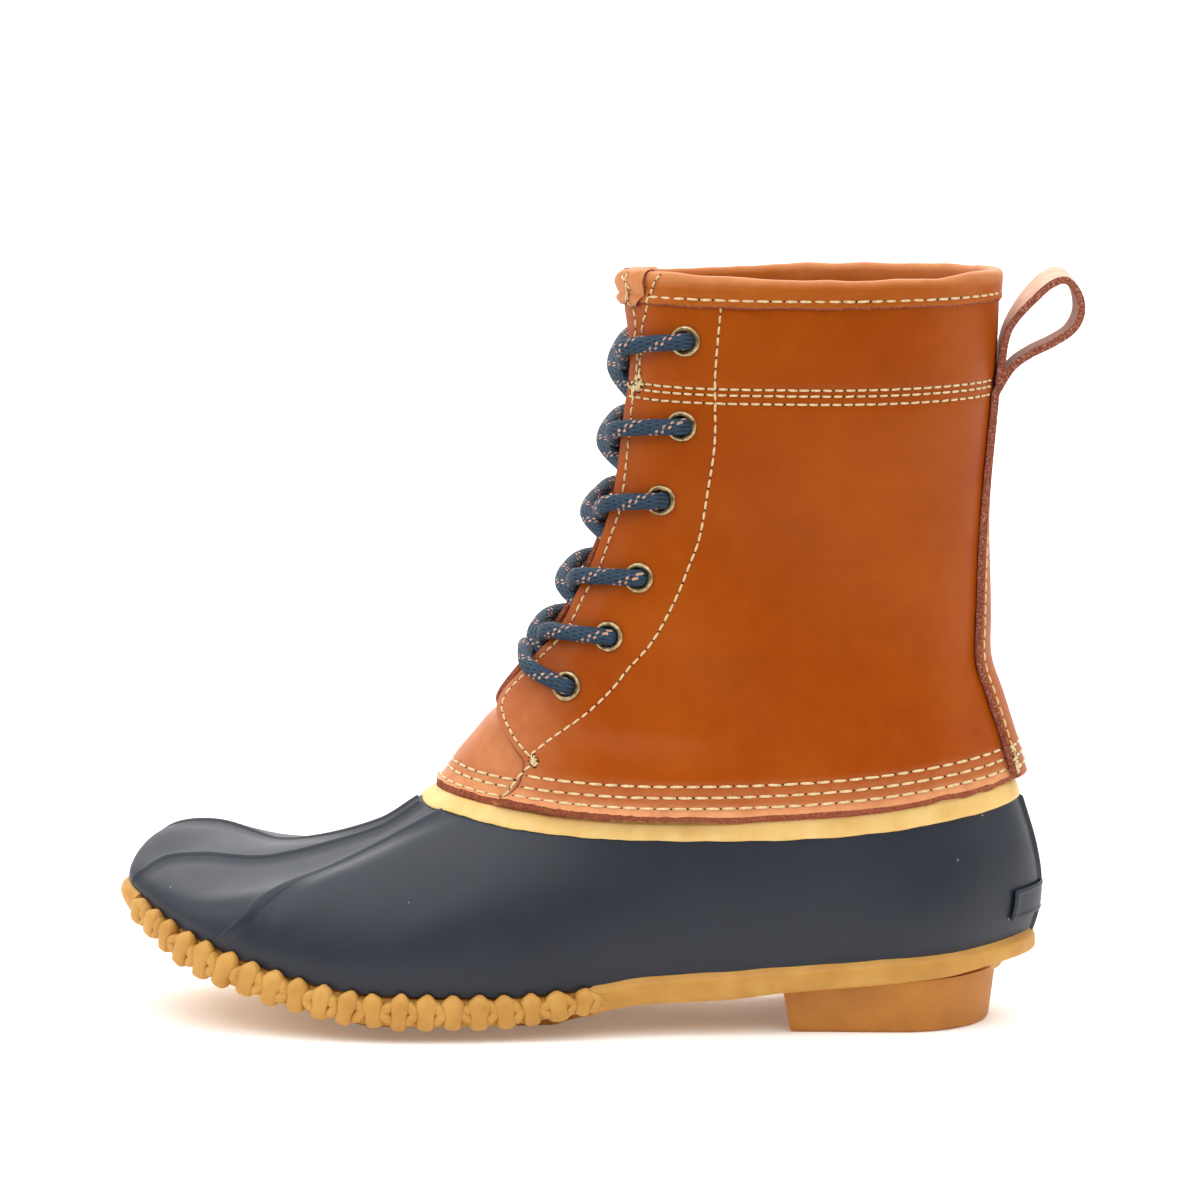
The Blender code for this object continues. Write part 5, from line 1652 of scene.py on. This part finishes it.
def laceStrand(side, pair, isOver):
    # from inside an eyelet up to the next pair's other eyelet
    z0, z1 = eyeletTable["z"][pair], eyeletTable["z"][pair + 1]
    y0, y1 = eyeletTable["y"][pair], eyeletTable["y"][pair + 1]
    stops = []
    comesOut = lace["comesOut"][pair]
    for share, part in ((0.48 * comesOut, 0.55), (comesOut, 0.0)):
        z = z0 + (z1 - z0) * share
        edge = float(gapWidth(z))
        stops.append(laceStop(side, edge + (y0 - edge) * part, z, underQuarter))
    z = z0 + (z1 - z0) * 0.5 * (comesOut + lace["over"][0])
    stand = lace["middle"] + lace["cross"] * (1.0 if isOver else -1.0)
    stops.append(laceStop(side, 0.0, z, lambda u, v: np.full_like(u, stand)))
    for share, part in zip(lace["over"], (0.02, 0.5)):
        z = z0 + (z1 - z0) * share
        edge = float(gapWidth(z))
        stops.append(laceStop(-side, edge + (y1 - edge) * part, z, overQuarter))
    return stops


def eyeletAt(side, pair):
    # place and axis of an eyelet
    return eyeletSpots[pair if side > 0.0 else pair + len(eyeletTable["z"])][2:]


def throughEyelet(side, pair):
    # places along an eyelet's axis, from its outside to its inside
    place, axis = eyeletAt(side, pair)
    return [place + axis * height for height in lace["through"]]


def makeLace():
    last = len(eyeletTable["z"]) - 1
    halves = []
    for start in (1.0, -1.0):  # from the bar up to a top eyelet
        side = start
        stops = throughEyelet(side, 0)
        for pair in range(last):
            stops += laceStrand(side, pair, (pair % 2 == 0) == (start > 0.0))
            side = -side
            stops += throughEyelet(side, pair + 1)
        place, axis = eyeletAt(side, last)
        stops.append(place + axis * lace["end"])
        halves.append(stops)
    z = eyeletTable["z"][0]
    edge = float(gapWidth(z))
    reach = edge + (eyeletTable["y"][0] - edge) * lace["barShare"]
    low, high = lace["barRise"]
    bar = [laceStop(side, reach, z + low, overQuarter) for side in (1.0, -1.0)]
    bar.insert(1, laceStop(1.0, 0.0, z + high, lambda u, v: np.full_like(u, lace["barStand"])))
    stops = np.array(halves[0][::-1] + bar + halves[1])
    path = evenly(smoothPath(stops, 10), lace["step"])
    rings, uv, length = tubeArrays(path, lace["radius"], lace["sides"])
    rows, cols = rings.shape[:2]
    faces = gridFaces(rows, cols)
    faces.append(list(range(cols - 1)))
    faces.append([(rows - 1) * cols + c for c in range(cols - 2, -1, -1)])
    piece = loopMesh("braided_lace", rings.reshape(-1, 3), faces, uv.reshape(-1, 2))
    mended(piece)
    smoothed(piece, 60.0)
    print(f"lace length {length:.0f} mm")
    names = ["lace_bar"] + [f"lace_cross_{k}" for k in range(1, last + 1)]
    dressed(piece, (cordLook,), names)


# Stitches: short bent capsules along each row, and between each two a dark disc, painted shade for a needle
# hole
sewn = {"points": [], "faces": [], "count": 0}
punched = {"points": [], "faces": [], "count": 0}
sewing = {
    "sides": 6,
    "fill": 0.83,  # length of a stitch to its pitch, and how much that and its lean vary
    "fillJitter": 0.05,
    "leanJitter": 0.12,
    "swell": (0.66, 0.95, 1.0, 0.95, 0.66),  # thickness and height along a stitch, in thread radii
    "rise": (-0.45, 0.3, 0.5, 0.3, -0.45),
    "holeSides": 8,
    "holeSize": 0.95,  # to the thread's radius, and its height over the leather
    "holeLift": 0.06,
    "starts": {"bottom": 1.2, "cuff": 1.5, "collar": 12.0},  # of rows, past the throat's edge
    "strapGap": 0.2,  # between their ends and the strap
    "collarStand": 2.45,
    "cuffKnots": (3.4, 5.0),  # on the two upper rows of the cuff, past the throat's edge
    "bottom": (4.9, 0.42),  # pitch and thread radius of each kind of row
    "cuff": (3.4, 0.36),
    "facing": (3.25, 0.36),
    "throat": (3.3, 0.36),
    "collar": (4.2, 0.39),
    "strap": (3.6, 0.3),
    "knot": (9.0, 0.32),
    "tab": (2.9, 0.34),
    # rows on the collar's end tabs, start and end: out from the throat's edge, over the leather's top edge
    "tabRows": (((5.6, -4.4), (6.2, 3.4)), ((3.4, 2.8), (7.4, -0.6)), ((12.6, -1.2), (14.6, 3.2))),
    "corner": ((26.2, 80.2), (25.0, 75.4), (24.3, 69.6)),  # seam at the quarters' lower front corners
    # second row beside the throat: out from the middle, and height
    "secondThroat": ((26.9, 222.8), (25.6, 217.0), (24.7, 212.2), (24.0, 197.8)),
    "strapEnd": 150.0,  # height where the strap's edge rows stop
}


def sewRow(path, up, kind):
    pitch, radius = sewing[kind]
    run = runLength(path)
    count = max(1, round(run[-1] / pitch))
    step = run[-1] / count
    sides = sewing["sides"]
    turn = np.linspace(0.0, 2.0 * math.pi, sides, endpoint=False)
    swell = np.array(sewing["swell"]) * radius
    rise = np.array(sewing["rise"]) * radius
    even = np.linspace(-1.0, 1.0, len(swell))
    faces = ringFaces(len(swell), sides)
    for k in range(count):
        fill = sewing["fill"] + sewing["fillJitter"] * draw.normal()
        at = (k + 0.5 + 0.5 * even * fill) * step
        centre = np.stack([np.interp(at, run, path[:, i]) for i in range(3)], axis=1)
        over = np.stack([np.interp(at, run, up[:, i]) for i in range(3)], axis=1)
        over = over / np.linalg.norm(over, axis=1, keepdims=True)
        travel = centre[-1] - centre[0]
        across = np.cross(travel / np.linalg.norm(travel), over)
        lean = sewing["leanJitter"] * draw.normal() * radius
        centre = centre + over * rise[:, None] + across * (even * lean)[:, None]
        rings = centre[:, None] + swell[:, None, None] * (
            np.cos(turn)[None, :, None] * across[:, None] + np.sin(turn)[None, :, None] * over[:, None])
        heaped(sewn, rings.reshape(-1, 3), faces)
        hole(path, up, run, k * step, radius)
    hole(path, up, run, run[-1], radius)


def hole(path, up, run, at, radius):
    # a dark disc at a place along a row, painted shade for a needle hole
    centre = np.array([np.interp(at, run, path[:, i]) for i in range(3)])
    over = np.array([np.interp(at, run, up[:, i]) for i in range(3)])
    over = over / np.linalg.norm(over)
    right = np.cross(over, [0.3, 0.2, 0.9])
    right = right / np.linalg.norm(right)
    other = np.cross(over, right)
    turn = np.linspace(0.0, 2.0 * math.pi, sewing["holeSides"], endpoint=False)
    ring = np.cos(turn)[:, None] * right + np.sin(turn)[:, None] * other
    ring = centre + over * sewing["holeLift"] + sewing["holeSize"] * radius * ring
    heaped(punched, ring, [range(len(ring))])


def sewOn(u, v, lift, kind):
    # a row along places on the form, on a face that stands off it by lift
    path = lifted(u, v, lift(u, v))
    step = 0.01
    around = lifted(u + step, v, lift(u + step, v)) - lifted(u - step, v, lift(u - step, v))
    upward = lifted(u, v + step, lift(u, v + step)) - lifted(u, v - step, lift(u, v - step))
    up = np.cross(around, upward)
    sewRow(path, up / np.linalg.norm(up, axis=1, keepdims=True), kind)


def knot(place, up, size, count):
    # a lump of back stitches where rows meet
    right = np.cross(up, [0.0, 0.0, 1.0])
    other = np.cross(right, up)
    for _ in range(count):
        spot = place + size * (0.5 * draw.normal() * right + 0.5 * draw.normal() * other)
        spot = spot + up * draw.uniform(0.0, 0.5)
        angle = draw.uniform(0.0, math.pi)
        way = (math.cos(angle) * right + math.sin(angle) * other) * draw.uniform(0.9, 1.7)
        sewRow(np.array([spot - way, spot, spot + way]), np.array([up, up, up]), "knot")


def faceAt(u, v, lift):
    # place on a face that stands off the form, and the form's normal there
    u, v = np.array([u]), np.array([v])
    return lifted(u, v, lift(u, v))[0], normals(u, v)[0]


def onStrap(u, v):
    return np.full_like(u, strap["under"] + strap["thick"])


def overCollar(u, v):
    return quarterFace(u, v) + onCollar(u, v)


def throatRow(z):
    # how far the row of stitches along the throat is from the middle plane
    return gapWidth(z) + 2.2 + 1.5 * grows(z, 86.0, 7.0) + 2.2 * grows(z, 208.0, 9.0)


def sewTab(side):
    # the short rows that hold the collar's end, up over its roll
    outer = np.array(collar["tab"][1:10])
    for start, end in sewing["tabRows"]:
        past, over = np.linspace(start, end, 12).T
        u = np.array([throatStation(topRing, side, out) for out in past])
        out = np.interp(over, outer[:, 1], outer[:, 0]) - 0.85 * (past > collar["tabWidth"][0]) + 0.12
        path = np.array([collarLoops(u, ((out[k], over[k]),))[0, k] for k in range(len(u))])
        sewRow(path, normals(u, np.full_like(u, topRing)), "tab")


def besideStrap(side, v):
    # station of the strap's edge on a side
    return side * (heelStation - backStation(np.array([v]), strap["half"] + sewing["strapGap"])[0])


def sewAlong(v, start, end, lift, kind):
    # a row at one v, between two stations
    share = np.linspace(0.0, 1.0, 160)
    sewOn(start + (end - start) * share, np.full_like(share, v), lift, kind)


def underCollar(u, v):
    return quarterInner(u, v) + sewing["collarStand"]


def sewSide(side):
    sewTab(side)
    for kind, rows in (("bottom", quarter["rows"]), ("cuff", quarter["cuffRows"])):
        for row in rows:
            start = throatStation(row, side, sewing["starts"][kind])
            sewAlong(row, start, besideStrap(side, row), quarterFace, kind)
    line = smoothPath(quarter["facing"], 10)
    sewOn(*sideSpot(side, line[:, 0], line[:, 1]), quarterFace, "facing")
    v = np.linspace(2.14, topRing - 0.02, 220)
    sewOn(frontStation(v, side, throatRow), v, overCollar, "throat")
    corner = smoothPath(sewing["corner"], 10)
    u, v = frontSpot(side, corner[:, 0], corner[:, 1])
    sewOn(u, v, quarterFace, "throat")
    knot(*faceAt(u[0], v[0] + 0.06, quarterFace), 1.2, 8)
    line = smoothPath(sewing["secondThroat"], 12)
    sewOn(*frontSpot(side, line[:, 0], line[:, 1]), overCollar, "throat")
    start = throatStation(topRing, side, sewing["starts"]["collar"])
    sewAlong(topRing - 0.11, start, besideStrap(side, topRing - 0.1), underCollar, "collar")
    for row, past in zip(quarter["cuffRows"][1:], sewing["cuffKnots"]):
        knot(*faceAt(throatStation(row, side, past), row, quarterFace), 2.0, 12)


def sewStrap():
    points = strapGrid(np.array([-0.9, -0.88, 0.0, 0.88, 0.9]))
    for edge, first in ((0, 0), (4, 3)):
        path = points[:, edge]
        up = np.cross(points[:, first + 1] - points[:, first], np.gradient(path, axis=0))
        up = up / np.linalg.norm(up, axis=1, keepdims=True)
        keep = slice(2, np.argmax(path[:, 2] > sewing["strapEnd"]))
        sewRow(path[keep], up[keep], "strap")
    for row in quarter["rows"]:
        reach = backStation(np.array([row]), strap["half"])[0]
        u = heelStation + reach * np.linspace(-0.95, 0.95, 40)
        sewOn(u, np.full_like(u, row), onStrap, "bottom")
        for end in (-1.0, 1.0):
            knot(*faceAt(heelStation + 0.93 * reach * end, row - 0.08, onStrap), 1.3, 7)


def makeStitches():
    for side in (1.0, -1.0):
        sewSide(side)
    for row in tongue["rows"]:
        sewAlong(row, throatStation(row, 1.0, -1.0), throatStation(row, -1.0, -1.0), tongueFace, "bottom")
    sewStrap()
    stitches = pileMesh("seam_stitches", sewn)
    smoothed(stitches, 80.0)
    dressed(stitches, (thread,))
    dressed(pileMesh("needle_holes", punched), (punch,))
    print(f"{sewn['count'] // (len(sewing['swell']) * sewing['sides'])} stitches")


# Floor, light and camera
studio = {
    "floor": ("#f4f3f1", "#f8f7f5"),
    "near": "#6e6d6b",  # the floor between the camera and the boot, out of the picture
    "nearEnd": (-0.62, -0.27),
    "glow": "#fff6ea",
    # the paper's sweep, in metres and degrees: front end, its turn's start, radius and end, top, half width
    "sweep": (-4.0, 1.5, 1.5, 85.0, (3.1, 4.5), 5.0),
    "lens": 150.0,
    "target": (5.9, 0.0, 127.7),
    "turn": 2.0,
    "away": 1513.5,
    "height": 320.0,
    # each light: place, what it looks at, size across and up, watts
    "lights": (
        ((0.0, -0.55, 1.65), (0.0, -0.06, 0.05), (2.4, 2.2), 26.5),
        ((0.0, -2.0, 1.5), (0.0, 0.0, 0.06), (2.2, 0.8), 8.0),
        ((0.0, 1.75, 1.15), (0.0, 0.0, 0.1), (3.4, 1.5), 13.0),
        ((-1.7, -0.55, 1.3), (0.0, 0.0, 0.1), (1.0, 1.4), 11.0),
        ((1.9, -0.7, 0.75), (0.0, 0.0, 0.12), (0.8, 1.4), 4.5),
        ((0.0, 2.0, 2.4), (0.0, 3.0, 0.3), (4.0, 0.8), 60.0),
    ),
    "lit": 0.15,  # the paper glows by itself: painted light that lifts the boot's shadow on it and lights the boot from below
    "front": 0.04,  # brightness of the room behind the camera, and of the white behind the boot
    "back": 1.15,
}


def makeFloor():
    front, bend, radius, lastTurn, top, half = studio["sweep"]
    turns = np.radians(np.linspace(0.0, lastTurn, 18))
    profile = [(front, 0.0), (bend, 0.0)]
    profile += [(bend + radius * math.sin(a), radius - radius * math.cos(a)) for a in turns[1:]]
    points = np.array([[(x, y, z) for x in np.linspace(-half, half, 9)] for y, z in (*profile, top)])
    sheet = gridSheet("studio_floor", points / mm + middle)
    smoothed(sheet, 60.0)
    paper, tree, shader, place = started("matt paper backdrop", 0.95)
    shader.inputs["Specular IOR Level"].default_value = 0.1
    tooth = addNode(tree, "TexNoise", {"Vector": place, "Scale": perMm(3.0), "Detail": 2.0})["Fac"]
    stops = tuple(zip((0.3, 0.7), studio["floor"]))
    colour = addNode(tree, "ValToRGB", {"Fac": tooth}, stops=stops)["Color"]
    ahead = addNode(tree, "SeparateXYZ", {"Vector": place})["Y"]
    start, end = studio["nearEnd"]
    ramp = {"Value": ahead, 1: start, 2: end}
    far = addNode(tree, "MapRange", ramp, interpolation_type="SMOOTHSTEP")[0]
    colour = addNode(tree, "Mix", {0: far, 6: tint(studio["near"]), 7: colour}, data_type="RGBA")[2]
    tree.links.new(colour, shader.inputs["Base Color"])
    # the paper beyond the near strip glows: painted light that lifts the boot's shadow on it
    glow = addNode(tree, "Mix", {0: far, 6: tint("#000000"), 7: tint(studio["glow"])}, data_type="RGBA")[2]
    tree.links.new(glow, shader.inputs["Emission Color"])
    shader.inputs["Emission Strength"].default_value = studio["lit"]
    sheet.data.materials.append(paper)


def faced(thing, place, aim):
    # puts a lamp or a camera at a place, turned to what it looks at
    place, aim = Vector(place), Vector(aim)
    thing.location = place
    thing.rotation_euler = (aim - place).to_track_quat("-Z", "Y").to_euler()
    bpy.context.scene.collection.objects.link(thing)


def makeLights():
    for place, aim, (wide, tall), watts in studio["lights"]:
        lamp = bpy.data.lights.new("softbox", "AREA")
        lamp.shape = "RECTANGLE"
        lamp.size, lamp.size_y = wide, tall
        lamp.energy = watts
        faced(bpy.data.objects.new("softbox", lamp), place, aim)
    world = bpy.data.worlds.new("white studio")
    world.use_nodes = True
    sky = world.node_tree
    ways = addNode(sky, "SeparateXYZ", {"Vector": addNode(sky, "TexCoord")["Generated"]})
    aim = addNode(sky, "Math", {0: ways["Z"], 1: 0.5, 2: 0.35}, operation="MULTIPLY_ADD")[0]
    aim = addNode(sky, "Math", {0: ways["Y"], 1: 0.6, 2: aim}, operation="MULTIPLY_ADD")[0]
    glow = addNode(sky, "MapRange", {"Value": aim, 3: studio["front"], 4: studio["back"]}, clamp=True)[0]
    sky.links.new(glow, sky.nodes["Background"].inputs["Strength"])
    sky.nodes["Background"].inputs["Color"].default_value = (1.0, 1.0, 1.0, 1.0)
    bpy.context.scene.world = world
    bpy.context.scene.view_settings.view_transform = "Standard"


def makeCamera():
    turn = math.radians(studio["turn"])
    target = np.array(studio["target"])
    place = target + studio["away"] * np.array([math.sin(turn), -math.cos(turn), 0.0])
    place[2] = studio["height"]
    lens = bpy.data.cameras.new("studio camera")
    lens.lens = studio["lens"]
    lens.sensor_width = 36.0
    camera = bpy.data.objects.new("studio camera", lens)
    faced(camera, placed(place), placed(target))
    bpy.context.scene.camera = camera


makeRubber()
makeRidges()
makeBand()
makeSole()
makeChain()
makeBumper()
makeHeel()
makeInsole()
makePlate()
print("stage: foot and sole made")
makeQuarters()
makeTongue()
makeCollar()
makeTab(1.0, "outer")
makeTab(-1.0, "inner")
makeStrap()
print("stage: leather made")
makeEyelets()
makeLace()
makeStitches()
print("stage: eyelets, lace and stitches made")
makeFloor()
makeLights()
makeCamera()
print("stage: studio ready")
